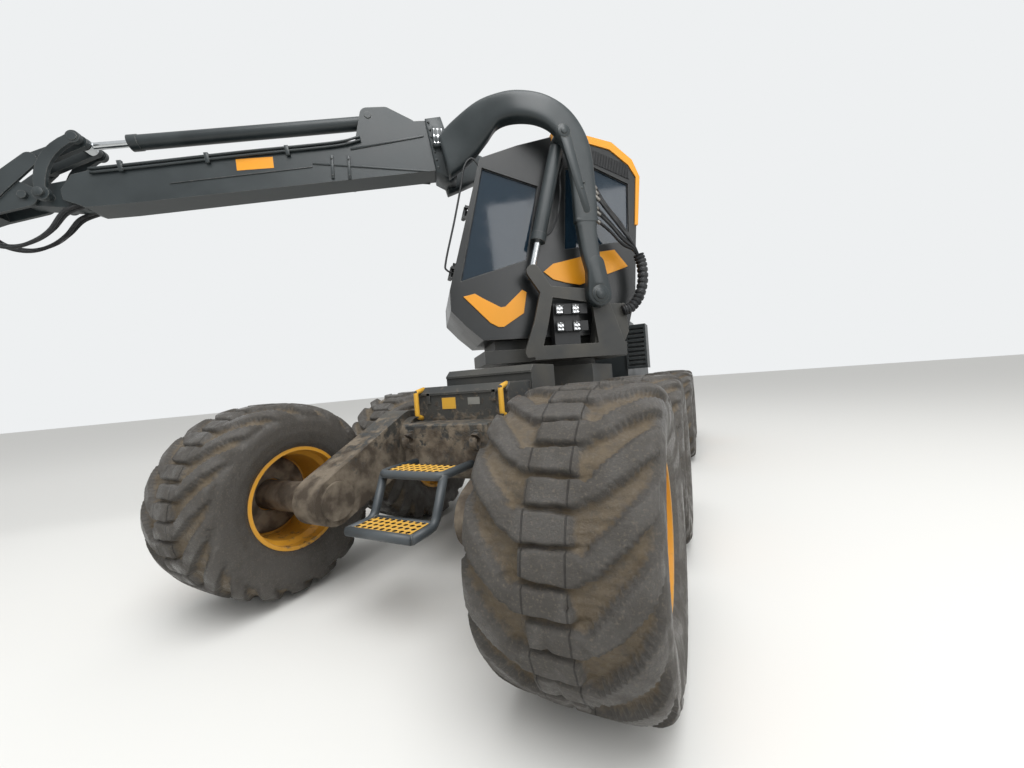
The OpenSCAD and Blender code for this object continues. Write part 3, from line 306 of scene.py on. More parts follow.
def rubber(name, base, mud_share, grooves=0.0, cut_m=None):
    """Moulded rubber with dried mud in blotches of 300 and 30 mm, more of it where the mesh's
    groove attribute is high, and wet patches that shine. With cut_m it is a tyre's: specks of
    mud, and two thin cuts round the lugs at that distance from the tyre's middle plane."""
    made, tree, shader, where = fresh(name)
    wide = add(tree, "TexNoise", where, None, 1 / 0.30, 6.0, 0.62)
    fine = add(tree, "TexNoise", where, None, 1 / 0.03, 6.0, 0.7)
    hollow = add(tree, "Attribute", out="Fac", attribute_name="groove")
    hollow = add(tree, "Math", hollow, grooves, operation="MULTIPLY")
    blotch = add(tree, "Math", add(tree, "Mix", 0.45, wide, fine), hollow, operation="ADD")
    stain = add(tree, "MapRange", blotch, 0.66 - 0.3 * mud_share, 0.74 - 0.2 * mud_share)
    tone = add(tree, "MapRange", add(tree, "TexNoise", where, None, 1 / 0.09, 5.0), 0.35, 0.65)
    mud = add(tree, "Mix", tone, ins={6: shade("#51473B"), 7: shade("#786B58")}, **COLOURS)
    clay = add(tree, "MapRange", hollow, 0.0, 0.3, 0.0, 0.75)
    mud = add(tree, "Mix", clay, ins={6: mud, 7: shade("#5C5140")}, **COLOURS)
    colour = add(tree, "Mix", stain, ins={6: shade(base), 7: mud}, **COLOURS)
    wet = add(tree, "TexNoise", where, None, 1 / 0.16, 4.0, 0.6)
    wet = add(tree, "MapRange", wet, 0.42, 0.60, 0.30, 0.85)
    tree.links.new(wet, shader.inputs["Roughness"])
    height = add(tree, "TexNoise", where, None, 1 / 0.010, 7.0, 0.75)
    height = add(tree, "Math", height, 0.006, operation="MULTIPLY")
    if cut_m:
        speck = add(tree, "TexNoise", where, None, 1 / 0.009, 4.0, 0.65)
        speck = add(tree, "MapRange", speck, 0.54, 0.66, 0.0, 0.4)
        colour = add(tree, "Mix", speck, ins={6: colour, 7: shade("#756C5E")}, **COLOURS)
        aside = add(tree, "SeparateXYZ", where, out="X")
        for shift in (0.0, TRACK_HALF, cut_m):
            aside = add(tree, "Math", aside, shift, operation="SUBTRACT")
            aside = add(tree, "Math", aside, operation="ABSOLUTE")
        cut = add(tree, "Math", hollow, 0.02, aside, operation="MULTIPLY_ADD")
        cut = add(tree, "MapRange", cut, 0.0022, 0.0042, 1.0, 0.0)
        shadow = add(tree, "Math", cut, 0.75, operation="MULTIPLY")
        colour = add(tree, "Mix", shadow, ins={6: colour, 7: shade("#1F1C19")}, **COLOURS)
        height = add(tree, "Math", cut, -0.004, height, operation="MULTIPLY_ADD")
    tree.links.new(colour, shader.inputs["Base Color"])
    relief(tree, shader, height)
    return made


tyre_rubber = rubber("muddy tyre rubber", "#46433F", 0.80, grooves=0.3, cut_m=0.075)
hose_rubber = rubber("hose rubber", "#16181A", 0.12)
print("half the track in metres:", round(TRACK_HALF, 4))


# %% Glass, chrome, cloth and plastics
SMEAR_ROUGH = 0.12


def plain(name, base, rough, metal=0.0, grain_m=0.003, depth_m=0.0002):
    """A smooth finish with a slight grain and slight change of roughness."""
    made, tree, shader, where = fresh(name)
    grain = add(tree, "TexNoise", where, None, 1 / grain_m, 4.0)
    smear = add(tree, "TexNoise", where, None, 1 / 0.12, 5.0)
    dark = tuple(0.6 * c for c in shade(base)[:3]) + (1.0,)
    tone = add(tree, "MapRange", smear, 0.4, 0.7, 0.0, 0.6)
    colour = add(tree, "Mix", tone, ins={6: shade(base), 7: dark}, **COLOURS)
    roughness = add(tree, "Math", smear, SMEAR_ROUGH, rough, operation="MULTIPLY_ADD")
    tree.links.new(colour, shader.inputs["Base Color"])
    tree.links.new(roughness, shader.inputs["Roughness"])
    shader.inputs["Metallic"].default_value = metal
    relief(tree, shader, add(tree, "Math", grain, depth_m, operation="MULTIPLY"))
    return made


chrome = plain("hard chrome rod", "#C9CCCE", 0.10, metal=1.0, depth_m=0.00002)
steel = plain("bare steel", "#8A8782", 0.38, metal=1.0)
black_plastic = plain("moulded black plastic", "#16181A", 0.45, depth_m=0.0004)
seat_cloth = plain("seat cloth", "#202226", 0.85, grain_m=0.002, depth_m=0.001)
# Dark packed mud, which also serves as the painted shade in the holes of the step plates
mud_and_painted_shade = plain("packed mud", "#2B241C", 0.9, grain_m=0.008, depth_m=0.002)
cast_iron = plain("engine casting", "#3A3B3A", 0.6, grain_m=0.006, depth_m=0.001)

pane, tree, shader, where = fresh("tinted pane")
shader.inputs["Base Color"].default_value = shade("#1A2B38")
shader.inputs["Alpha"].default_value = 0.9
film = add(tree, "TexNoise", where, None, 1 / 0.2, 6.0, 0.7)
tree.links.new(add(tree, "MapRange", film, 0.3, 0.8, 0.02, 0.12), shader.inputs["Roughness"])
shader.inputs["IOR"].default_value = 1.5
print("materials so far:", len(bpy.data.materials))


# %% Put the finishes on the frame's own pieces
def finish(material, *names):
    """Gives a material to CAD nodes by their names."""
    for name in names:
        nodes[name].data.materials.clear()
        nodes[name].data.materials.append(material)


WHEELS = [side + number for side in "lr" for number in "1234"]
finish(tyre_rubber, *["tyre_" + w for w in WHEELS])
finish(rim_paint, *["rim_" + w for w in WHEELS])
finish(frame_paint, "front_frame", "front_axle", "front_bogie_cases", "front_boxes",
       "middle_frame", "rear_frame", "rear_axle", "rear_bogie_cases", "slew_base")
finish(ladder_paint, "front_ladder")
finish(hood_paint, "engine_hood", "hood_louvres")
finish(cast_iron, "engine_block")
finish(cab_paint, "cab_shell", "cab_door")
finish(yellow_paint, "cab_roof", "cab_panels")
finish(pane, "cab_glass", "door_glass")
finish(seat_cloth, "operator_seat")
finish(black_plastic, "work_lamps")
finish(crane_paint, "gooseneck", "main_boom", "lift_barrels", "jib_barrel", "knee_links",
       "knee_rocker", "jib", "telescope", "head_link", "rotator", "head_yoke", "head_frame",
       "left_knife", "right_knife")
finish(chrome, "lift_rods", "jib_rod")
finish(steel, "left_roller", "right_roller")
print("nodes with a finish:", sum(len(node.data.materials) > 0 for node in nodes.values()))

# %% [markdown]
# ## Surfaces from grids
# Nearly every new piece below is one sheet of points: rows and columns worked out as
# whole arrays, then joined by quads. A tube is a sheet that closes on itself one way.
# One helper turns such a sheet into an object, so each piece only gives its formula.

# %% Sheets of points to objects
def volume(points, faces):
    """Space inside closed faces (n, k): the sum of a . (b x c) / 6 over fans of triangles."""
    fans = points[faces[:, :1]] * np.cross(points[faces[:, 1:-1]], points[faces[:, 2:]])
    return np.sum(fans) / 6


def build(name, shells, material, body, slot_name, smooth=True):
    """An object from closed shells, riding on a body, or on none if no body is given.
    A shell is its points (..., 3) and a list of face arrays (m, k), and one that encloses a
    negative volume has its faces turned round."""
    places, faces, start = [], [], 0
    for points, groups in shells:
        points = np.asarray(points, float).reshape(-1, 3)
        inside_out = sum(volume(points, group) for group in groups) < 0
        for group in groups:
            faces += (start + (group[:, ::-1] if inside_out else group)).tolist()
        places.append(points)
        start += len(points)
    mesh = bpy.data.meshes.new(name)
    mesh.from_pydata(np.concatenate(places).tolist(), [], faces)
    mesh.polygons.foreach_set("use_smooth", [smooth] * len(mesh.polygons))
    mesh.materials.append(material)
    made = bpy.data.objects.new(name, mesh)
    scene.collection.objects.link(made)
    if body:
        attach(made, body)
    print(name + ":", len(faces), "faces")
    return made


def quads(rows, columns, wrap_rows=False, wrap_columns=False):
    """Faces of a sheet of rows by columns points, which closes on itself where it wraps."""
    r = np.arange(rows if wrap_rows else rows - 1)[:, None]
    c = np.arange(columns if wrap_columns else columns - 1)[None, :]
    r1, c1 = (r + 1) % rows, (c + 1) % columns
    corners = [r * columns + c, r1 * columns + c, r1 * columns + c1, r * columns + c1]
    return np.stack(corners, -1).reshape(-1, 4)


# %% Turns, steps, bells and lumps
def turns(count):
    """Angles of count even steps round a circle."""
    return np.linspace(0, 2 * math.pi, count, endpoint=False)


def circle(turn):
    """Points of the unit circle at angles: cosine and sine."""
    return np.stack([np.cos(turn), np.sin(turn)], -1)


def unit(rows):
    """Rows of vectors, each over its own length."""
    return rows / np.linalg.norm(rows, axis=-1, keepdims=True)


def soft_step(distance, edge):
    """1 well inside, where distance is below 0, 0 well outside, eased over plus or minus edge."""
    t = np.clip(0.5 - distance / (2 * edge), 0, 1)
    return t * t * (3 - 2 * t)


def bell(x, middle, wide):
    """1 in the middle, falling as e to the minus square of the distance over wide."""
    return np.exp(-((x - middle) / wide) ** 2)


def blunt(x):
    """The root of x's size with the sign of x, which makes a circle a fourth-power round."""
    return np.sign(x) * np.abs(x) ** 0.5


# Length of a wave in metres, weight
LUMPS = ((0.19, 0.8), (0.083, 0.6), (0.037, 0.5), (0.019, 0.4))


def lumps(points, seed=7):
    """Lumpy noise at points (..., 3), about -1 to 1: three plane waves of each length in seeded
    directions, added by weight."""
    seeded = np.random.default_rng(seed)
    total = np.zeros(points.shape[:-1])
    for size, weight in LUMPS:
        for _ in range(3):
            way = seeded.normal(size=3)
            way *= 2 * math.pi / size / np.linalg.norm(way)
            total += weight * np.sin(points @ way + seeded.uniform(0, 6.28))
    return total / 4.0


print("lumps 1 m apart:", lumps(np.array([(0.0, 0.0, 0.0), (1.0, 0.0, 0.0)])).round(3))


# %% [markdown]
# ## Tread
# A forestry tyre has two sets of lugs that take turns round the tyre. A left lug
# starts right of the middle, runs straight across as two blocks, and then sweeps back
# and widens to the left shoulder. A right lug is its mirror, half a pitch on.
# Separate blocks on a drum would show seams, so the tread is one sheet round the
# tyre: the section of the tyre at every angle, pushed in where no lug stands, with
# worn corners, thin cuts through the blocks, and lumps of mud.

# %% The tyre's section
LUG_DEPTH = 0.042
LUG_PITCH = 2 * math.pi / 18
LUG_ROUND = 0.016
CROWN_R = 0.66
AROUND, ACROSS = 648, 70
# Steps of the fine line for each point of the section, and half of the running mean's width
EASE = 40
# Half of it, crown to bead: distance from the middle, radius
SECTION = np.array([(0.000, 0.670), (0.080, 0.6695), (0.160, 0.667), (0.230, 0.661), (0.285, 0.650),
                    (0.322, 0.631), (0.343, 0.604), (0.352, 0.570), (0.355, 0.525), (0.352, 0.470),
                    (0.344, 0.425), (0.332, 0.392), (0.315, 0.366), (0.303, 0.352), (0.292, 0.338)])


def eased_section(count):
    """The whole section as count points, with its corners eased by a running mean, and how far
    along it each point lies from the crown."""
    half = np.concatenate([SECTION[:0:-1] * (-1, 1), SECTION])
    far = np.concatenate([[0], np.cumsum(np.hypot(*np.diff(half, axis=0).T))])
    fine = np.linspace(0, far[-1], EASE * count)
    line = np.stack([np.interp(fine, far, half[:, k]) for k in (0, 1)], -1)
    window = np.hanning(2 * EASE + 1)
    window /= window.sum()
    ends = np.concatenate([np.repeat(line[:1], EASE, 0), line, np.repeat(line[-1:], EASE, 0)])
    line = np.stack([np.convolve(ends[:, k], window, "valid") for k in (0, 1)], -1)
    pick = np.linspace(0, len(line) - 1, count).round().astype(int)
    return line[pick], fine[pick] - far[-1] / 2


print("section from bead to bead:", round(2 * eased_section(ACROSS)[1][-1], 3), "m")


# %% Lugs
def lug_set(along, angle, seed):
    """Share of full height that one set of lugs has. along is how far a point is from the
    middle towards the set's own shoulder, angle is round the tyre. The middle line of a lug is
    straight to 120 mm out, then sweeps back 17 degrees, where the lug is half as wide again."""
    out = np.clip((along - 0.120) / 0.20, 0, 1.5)
    sweep = np.radians(17.0) * out ** 1.1
    turn = (angle - sweep) / LUG_PITCH
    number = np.round(turn)
    off_line = np.abs(turn - number) * LUG_PITCH
    waist = soft_step(np.abs(along - 0.135) - 0.018, 0.01)
    half_wide = np.radians(4.3 + 1.7 * np.clip(out, 0, 1) - 0.9 * waist)
    worn = 0.004 * np.sin(9.1 * number + seed + 14 * along)
    worn = worn + 0.002 * np.sin(67 * along + 5.3 * number)
    sides = (off_line - half_wide) * CROWN_R + worn
    inner = -0.088 - along + 0.007 * np.sin(4.7 * number + seed)
    outer = along - 0.395 - 0.012 * np.sin(2.9 * number + seed)
    ends = np.maximum(inner, outer)
    corner = np.hypot(np.maximum(sides + LUG_ROUND, 0), np.maximum(ends + LUG_ROUND, 0)) - LUG_ROUND
    share = soft_step(np.maximum(corner, np.maximum(sides, ends)), 0.009)
    cut = np.abs(along + 0.010 + 0.008 * np.sin(3.3 * number + seed)) - 0.0022
    joint = np.abs(along - 0.125 - 0.4 * off_line * CROWN_R) - 0.004
    return share * (1 - 0.45 * soft_step(cut, 0.004)) * (1 - 0.22 * soft_step(joint, 0.007))


# %% Tyres
def on_wheel(middle, across, radius, angle):
    """World points about a wheel's middle: across along its axle, and a radius at an angle
    from forward towards up."""
    across, radius, angle = np.broadcast_arrays(across, radius, angle)
    return middle + np.stack([across, -radius * np.cos(angle), radius * np.sin(angle)], -1)


def tread(wheel, phase):
    """A tyre as one closed sheet: row i is the section at one angle from forward towards up,
    each point pushed in against the section's normal where the height share of the lugs is
    low, out at two rings on the side wall, and about by lumps of mud."""
    middle = middle_of("tyre_" + wheel)
    section, along = eased_section(ACROSS)
    angle = turns(AROUND)[:, None]
    left = lug_set(-along[None, :], angle - phase, 1.0 + phase)
    other = lug_set(along[None, :], angle - phase - LUG_PITCH / 2, 4.0 + phase)
    treaded = soft_step(np.abs(along)[None, :] - 0.385, 0.045)
    hollow = treaded * (1 - np.maximum(left, other))
    slope = np.gradient(section, axis=0)
    normal = unit(np.stack([-slope[:, 1], slope[:, 0]], -1))
    across, radius = section.T[:, None]
    rings = 0.003 * bell(radius, 0.455, 0.005) + 0.004 * bell(radius, 0.385, 0.006)
    soil = (0.0008 + 0.0045 * hollow) * lumps(on_wheel(middle, across, radius, angle))
    push = rings - LUG_DEPTH * hollow + soil - 0.002 + 0.004 * hollow
    points = on_wheel(middle, across + push * normal[:, 0], radius + push * normal[:, 1], angle)
    sheet = points, [quads(AROUND, ACROSS, True, True)]
    made = build("tread_" + wheel, [sheet], tyre_rubber, "wheel_" + wheel, "tyre")
    groove = made.data.attributes.new("groove", "FLOAT", "POINT")
    groove.data.foreach_set("value", hollow.ravel().astype(np.float32))
    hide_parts("tyre_" + wheel)


for count, wheel in enumerate(WHEELS):
    tread(wheel, np.radians(7.0 * count))

# %% [markdown]
# ## Plates, tubes and curves
# Crane, cab and frame are cut plate, cast blocks, tube and hose, so three helpers make
# most of what follows. A plate is an outline carried across the machine with its rim
# broken. A tube is a circle carried along a path. A curve runs smoothly through a
# few given places. Cab and crane stand turned at rest, so one more helper
# turns places measured from the slewing axis into places in the world.

# %% Places on the turned cab and on the frames
SLEW = math.radians(52.0)
CAB_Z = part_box("cab_shell")[0][2]


def on_cab(forward, across, high):
    """World points from distances ahead of the slewing axis, left of it and above the cab's
    floor, for a cab that is turned 52 degrees to the right at rest."""
    forward, across, high = np.broadcast_arrays(forward, across, high)
    x = np.cos(SLEW) * across - np.sin(SLEW) * forward
    y = -np.cos(SLEW) * forward - np.sin(SLEW) * across
    return np.stack([x, y, CAB_Z + high], -1)


def on_frame(forward, across, high):
    """World points on the frames, which point straight ahead: forward is -Y."""
    forward, across, high = np.broadcast_arrays(forward, across, high)
    return np.stack([across, -forward, high], -1)


print("the cab's floor is", round(CAB_Z, 3), "m up")


# %% Curves and tubes
def through(stations, per):
    """A smooth curve through the rows of stations: on each span a cubic whose end slopes are
    half the step between the neighbours, at per points a span."""
    stations = np.asarray(stations, float)
    first, last = 2 * stations[:1] - stations[1:2], 2 * stations[-1:] - stations[-2:-1]
    row = np.concatenate([first, stations, last])
    t = np.linspace(0, 1, per, endpoint=False)[None, :, None]
    a, b, c, d = (row[i:len(row) - 3 + i, None] for i in range(4))
    curve = b + t / 2 * (c - a + t * (2 * a - 5 * b + 4 * c - d + t * (3 * b - a - 3 * c + d)))
    return np.concatenate([curve.reshape(-1, stations.shape[1]), stations[-1:]])


def lofted(rings):
    """A closed shell over rings (rows, columns, 3), with flat ends."""
    rows, columns = rings.shape[:2]
    end = np.arange(columns)[None]
    side = quads(rows, columns, wrap_columns=True)
    return rings, [side, end, (rows - 1) * columns + end[:, ::-1]]


def tube(path, radius, sides=10):
    """Circles square to the path, each started from the direction in which the path travels
    least, with a radius that may change along it."""
    path = np.asarray(path, float)
    along = unit(np.gradient(path, axis=0))
    least = np.linalg.svd(along)[2][2]
    level = unit(np.cross(along, least))
    upright = np.cross(level, along)
    turn = turns(sides)[None, :, None]
    circles = np.cos(turn) * level[:, None] + np.sin(turn) * upright[:, None]
    return lofted(path[:, None] + np.broadcast_to(radius, len(path))[:, None, None] * circles)


# %% Plates
def mitres(outline):
    """How far each corner of a closed outline goes when its two edges go 1 along their
    normals: the sum of the normals over 1 + their product."""
    step = np.roll(outline, -1, 0) - outline
    normal = unit(np.stack([step[:, 1], -step[:, 0]], -1))
    before = np.roll(normal, 1, 0)
    return (normal + before) / (1 + np.sum(normal * before, 1))[:, None]


def plate(outline, v0, v1, edge=0.004, place=on_cab):
    """A plate with broken rims: an outline in forward and up at v0, v0 + edge, v1 - edge and
    v1, drawn in by edge at both faces. The sign of its area says which way is in."""
    outline = np.asarray(outline, float)
    after = np.roll(outline, -1, 0)
    area = np.sum(outline[:, 0] * after[:, 1] - outline[:, 1] * after[:, 0])
    drawn = outline - edge * np.sign(area) * mitres(outline)
    rings = [(drawn, v0), (outline, v0 + edge), (outline, v1 - edge), (drawn, v1)]
    return lofted(np.stack([place(line[:, 0], across, line[:, 1]) for line, across in rings]))


def mirrored(outline, v0, v1, **how):
    """The same plate left and right of the middle."""
    return [plate(outline, v0, v1, **how), plate(outline, -v1, -v0, **how)]


# %% Outlines
def oblong(middle, wide, tall):
    """Outline of an upright rectangle about its middle."""
    corners = np.array([(-1, -1), (1, -1), (1, 1), (-1, 1)])
    return middle + corners * (wide / 2, tall / 2)


def round_ends(a, ra, b, rb, count=16):
    """Outline of a plate between two round ends: an arc about b over the side that faces away
    from a, and one about a, joined by the lines that touch both."""
    a, b = np.array(a, float), np.array(b, float)
    turn = math.atan2(b[1] - a[1], b[0] - a[0])
    lean = math.acos((ra - rb) / np.linalg.norm(b - a))
    far = turn + np.linspace(-lean, lean, count)
    near = turn + np.linspace(lean, 2 * math.pi - lean, count)
    return np.concatenate([b + rb * circle(far), a + ra * circle(near)])


def ring(middle, radius, count=24):
    """Outline of a disc."""
    return middle + radius * circle(turns(count))


print("corners of a disc's outline:", len(ring((0, 0), 1)))


# %% [markdown]
# ## The crane's arch
# The arch is welded from bent plate round cast eyes: two legs rise beside the cab and
# lean together over its roof into the boom's root. Its section is a box with very
# round corners that turns and swells on the way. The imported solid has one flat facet
# per step, so here the same stations carry a smooth section, and it stands in for
# that solid with its eyes, collars, pins and lamps.

# %% Arch
LEG_MIDDLE = 0.8736
LEG_HALF = 0.060
LEG_SIDES = 64
LEG_IN, LEG_OUT = LEG_MIDDLE - LEG_HALF, LEG_MIDDLE + LEG_HALF
LEG_PIN = (-0.230, 0.410)
LIFT_PIN = (0.060, 2.170)
# Forward, up, across, half depth, half thickness, lean in degrees
LEG_STATIONS = np.array([
    (-0.228, 0.500, 0.000, 0.082, 0.060, 90), (-0.165, 0.860, 0.000, 0.100, 0.060, 84),
    (-0.140, 1.170, 0.000, 0.115, 0.060, 88), (-0.142, 1.250, 0.000, 0.132, 0.060, 90),
    (-0.140, 1.700, 0.000, 0.135, 0.060, 90), (-0.095, 2.030, 0.000, 0.148, 0.062, 70),
    (0.050, 2.295, -0.010, 0.152, 0.070, 48), (0.270, 2.450, -0.050, 0.150, 0.090, 22),
    (0.520, 2.540, -0.160, 0.150, 0.110, 6), (0.720, 2.560, -0.290, 0.160, 0.118, -8),
    (0.880, 2.500, -0.410, 0.205, 0.120, -20), (1.090, 2.370, -0.560, 0.235, 0.110, -26),
    (1.300, 2.230, -0.660, 0.240, 0.100, -12)])
# Foot, its collar and pin, the lift cylinder's boss and pin, the rib between, two bolts:
# outline, from and to across, edge
LEG_PLATES = [
    (round_ends(LEG_PIN, 0.135, (-0.210, 0.740), 0.095), LEG_IN, LEG_OUT, 0.010),
    (ring(LEG_PIN, 0.098), LEG_OUT - 0.004, LEG_OUT + 0.008, 0.003),
    (ring(LEG_PIN, 0.062), LEG_OUT, LEG_OUT + 0.022, 0.006),
    (ring(LIFT_PIN, 0.074), LEG_IN - 0.040, LEG_OUT + 0.010, 0.008),
    (ring(LIFT_PIN, 0.040), LEG_IN - 0.145, LEG_OUT + 0.022, 0.005),
    (round_ends((0.045, 2.130), 0.060, (-0.138, 1.330), 0.042), LEG_OUT - 0.012, LEG_OUT + 0.004,
     0.004),
    (ring((-0.13, 1.62), 0.012, 6), LEG_OUT - 0.004, LEG_OUT + 0.012, 0.003),
    (ring((-0.10, 1.56), 0.012, 6), LEG_OUT - 0.004, LEG_OUT + 0.012, 0.003)]


def arch_leg(hand):
    """Leg of the arch on one hand: at each station a fourth-power round, leaning along the
    leg, with a raised seam where the cast foot is welded to the bent plate."""
    turn = turns(LEG_SIDES) + math.pi / LEG_SIDES
    forward, high, across, half_deep, half_thick, lean = through(LEG_STATIONS, 10).T[:, :, None]
    seam = 0.005 * bell(high, 1.215, 0.012) + 0.004 * bell(high, 1.165, 0.008)
    deep = (half_deep + seam) * blunt(np.cos(turn))
    thick = (half_thick + seam) * blunt(np.sin(turn))
    lean = np.radians(lean)
    return lofted(on_cab(forward - deep * np.sin(lean), hand * (LEG_MIDDLE + across + thick),
                         high + deep * np.cos(lean)))


shells = [arch_leg(1), arch_leg(-1)]
for outline, v0, v1, edge in LEG_PLATES:
    shells += mirrored(outline, v0, v1, edge=edge)
build("arch", shells, crane_paint, "main_boom", "dark_paint")

# %% Root of the boom
KNEE = np.array([5.470, 1.740])
BOOM_SLOPE = math.radians(8.5)
BOOM_ROOT = 4.230
BOOM_SIDE = 0.139
BOOM_LAMP = (1.355, 2.485)


def on_boom(back, up):
    """Forward and up of a place on the boom, by its distance back from the knee and above the
    boom's middle line."""
    back, up = np.broadcast_arrays(back, up)
    return np.stack([KNEE[0] - back * math.cos(BOOM_SLOPE) + up * math.sin(BOOM_SLOPE),
                     KNEE[1] + back * math.sin(BOOM_SLOPE) + up * math.cos(BOOM_SLOPE)], -1)


root = on_boom(BOOM_ROOT + np.array([0.04, -0.15, -0.15, -0.04, 0.09, 0.11]),
               np.array([0.40, 0.39, -0.25, -0.33, -0.30, -0.12]))
shells = [plate(root, -0.170, 0.170, edge=0.012),
          plate(oblong(BOOM_LAMP, 0.13, 0.23), 0.169, 0.235, edge=0.008)]
for up in np.linspace(-0.20, 0.34, 7):
    bolt = ring(on_boom(BOOM_ROOT - 0.12, up), 0.014, 6)
    shells += mirrored(bolt, 0.168, 0.182, edge=0.003)
made = build("arch_root", shells, crane_paint, "main_boom", "dark_paint")
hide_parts("gooseneck")
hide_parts("gooseneck")

# %% [markdown]
# ## Lamps
# A work lamp is a black box with a clear lens over a few bright reflector cups. Each
# lens here is a sheet of small bowls behind a flat frame: where four bowls meet they
# leave a bright cross, and that is what the eye takes for a lit-up lamp at a distance.

# %% Lenses
BOWL_POINTS = 8
reflector = plain("metallised reflector", "#D8DADC", 0.12, metal=0.9, depth_m=0.00005)


def lens(middle, across, wide, tall, hand=1):
    """A sheet of 2 by 2 bowls, each sunk by up to 12 mm: depth is 1 - 3.6 times the square of
    the distance from the bowl's middle in widths, on a box with its back closed."""
    s = np.linspace(-0.5, 0.5, 2 * BOWL_POINTS + 1)
    near = (2 * s - np.round(2 * s - 0.5) - 0.5) ** 2
    sunk = 0.012 * np.clip(1 - 3.6 * (near[:, None] + near), 0, 1)
    forward, up = middle[0] + s[:, None] * wide, middle[1] + s * tall
    sheets = [on_cab(forward, hand * (across - deep), up) for deep in (sunk, 0.016)]
    size = len(s)
    back = size * size
    grid = quads(size, size)
    number = np.arange(back).reshape(size, size)
    rim = np.concatenate([number[0], number[1:, -1], number[-1, -2::-1], number[-2:0:-1, 0]])
    wall = np.stack([rim, np.roll(rim, -1), np.roll(rim, -1) + back, rim + back], -1)
    return np.stack(sheets), [grid, grid[:, ::-1] + back, wall[:, ::-1]]


LAMP_BACK, LAMP_FACE = 0.795, 0.806
cases, glasses = [], []
for forward, up in ((0.020, 0.090), (0.020, 0.280), (0.210, 0.090), (0.210, 0.280)):
    for s in (1, -1):
        for bar in (oblong((forward, up + 0.050 * s), 0.094, 0.016),
                    oblong((forward + 0.041 * s, up), 0.012, 0.116)):
            cases += mirrored(bar, LAMP_BACK, LAMP_FACE, edge=0.002)
        glasses.append(lens((forward, up), LAMP_FACE - 0.0025, 0.080, 0.088, hand=s))
build("lamp_frames", cases, black_plastic, "cab", "lamp")
build("lamp_lenses", glasses, reflector, "cab", "lamp", smooth=False)
build("boom_lens", [lens(BOOM_LAMP, 0.238, 0.10, 0.17)], reflector, "main_boom", "lamp",
      smooth=False)

# %% [markdown]
# ## Steps at the nose
# The step is bent from steel tube, with two tread plates of punched yellow sheet that
# grip a muddy boot. Each hole is a cell: an outer square and an inner ring of eight
# points, on the plate's top and bottom, joined by a short wall. Cells side by side
# make a plate that is really open, so the ground shows through it.

# %% Punched plates
PUNCHED_WIDE, PUNCHED_THICK, LIP = 0.425, 0.006, 0.004
CELL, HOLE_R = 0.045, 0.015


def punched(middle, deep, top):
    """A plate with a grid of round holes: every cell has 8 points on its square, at the
    corners and mid-sides, and 8 on its hole, on both faces. Above, a hole's rim is a lip."""
    across, along = round(PUNCHED_WIDE / CELL), round(deep / CELL)
    hole = circle(turns(8))
    square = np.sign(np.round(hole, 3)) * (PUNCHED_WIDE / across / 2, deep / along / 2)
    x = (np.arange(across) + 0.5) * PUNCHED_WIDE / across - PUNCHED_WIDE / 2
    y = (np.arange(along) + 0.5) * deep / along - deep / 2
    centre = np.stack(np.meshgrid(x, y, indexing="ij"), -1).reshape(-1, 1, 2)
    rings = centre + np.concatenate([square, HOLE_R * hole, HOLE_R * hole, square])
    low = top - PUNCHED_THICK
    high = np.repeat([top, top + LIP, low, low], 8)
    points = on_frame(middle - rings[..., 1], rings[..., 0], high)
    i = np.arange(8)
    j = (i + 1) % 8
    cell = np.concatenate([np.stack([i, j, j + 8, i + 8], -1) + 8 * k for k in range(3)])
    faces = (cell + 32 * np.arange(len(centre))[:, None, None]).reshape(-1, 4)
    corners = oblong((0, 0), PUNCHED_WIDE, deep)
    skirt = [on_frame(middle - corners[:, 1], corners[:, 0], level) for level in (top, low)]
    i = np.arange(4)
    j = (i + 1) % 4
    wall = np.stack([i, i + 4, j + 4, j], -1) + 32 * len(centre)
    return np.concatenate([points.reshape(-1, 3), *skirt]), [faces[:, ::-1], wall[:, ::-1]]


# %% Tubes of the step
NOSE = -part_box("front_frame")[0][1] - 0.088
STEP_HALF = 0.240
TUBE_R = 0.028
UPPER_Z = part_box("front_ladder")[1][2] - 0.025
LOWER_Z = UPPER_Z - 0.265
UPPER_FRONT = NOSE + 0.400
LOWER_FRONT = UPPER_FRONT + 0.300


def bent(places, radius, ease=0.06):
    """A tube through rows of forward, across and high on a frame, whose corners are arcs that
    start and end at the ease from each."""
    places = on_frame(*np.array(places, float).T)
    step = unit(np.diff(places, axis=0))
    corner = places[1:-1, None]
    t = np.linspace(0, 1, 7)[None, :, None]
    before, after = corner - ease * step[:-1, None], corner + ease * step[1:, None]
    arcs = (1 - t) ** 2 * before + 2 * t * (1 - t) * corner + t ** 2 * after
    return tube(np.concatenate([places[:1], arcs.reshape(-1, 3), places[-1:]]), radius, 12)


upper, lower = UPPER_Z - TUBE_R + 0.006, LOWER_Z - TUBE_R + 0.006
front, low_back, low_front = UPPER_FRONT - 0.020, LOWER_FRONT - 0.230, LOWER_FRONT - 0.030
shells = [bent([(NOSE + 0.031, -STEP_HALF, upper), (front, -STEP_HALF, upper),
                (front, STEP_HALF, upper), (NOSE + 0.031, STEP_HALF, upper)], TUBE_R)]
for x in (-STEP_HALF, STEP_HALF):
    shells.append(bent([(UPPER_FRONT - 0.050, x, upper), (low_back, x, lower),
                        (low_front, x, lower)], TUBE_R))
for forward in (low_back, low_front):
    bar = on_frame(forward, np.array([-STEP_HALF, 0, STEP_HALF]), lower)
    shells.append(tube(bar, TUBE_R, 12))
made = build("step_tubes", shells, tube_paint, "front_frame", "dark_paint")
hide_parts("front_ladder")
shells = [punched(UPPER_FRONT - 0.125, 0.200, UPPER_Z - 0.002),
          punched(LOWER_FRONT - 0.130, 0.180, LOWER_Z - 0.002)]
made = build("step_plates", shells, ladder_paint, "front_frame", "yellow_paint", smooth=False)
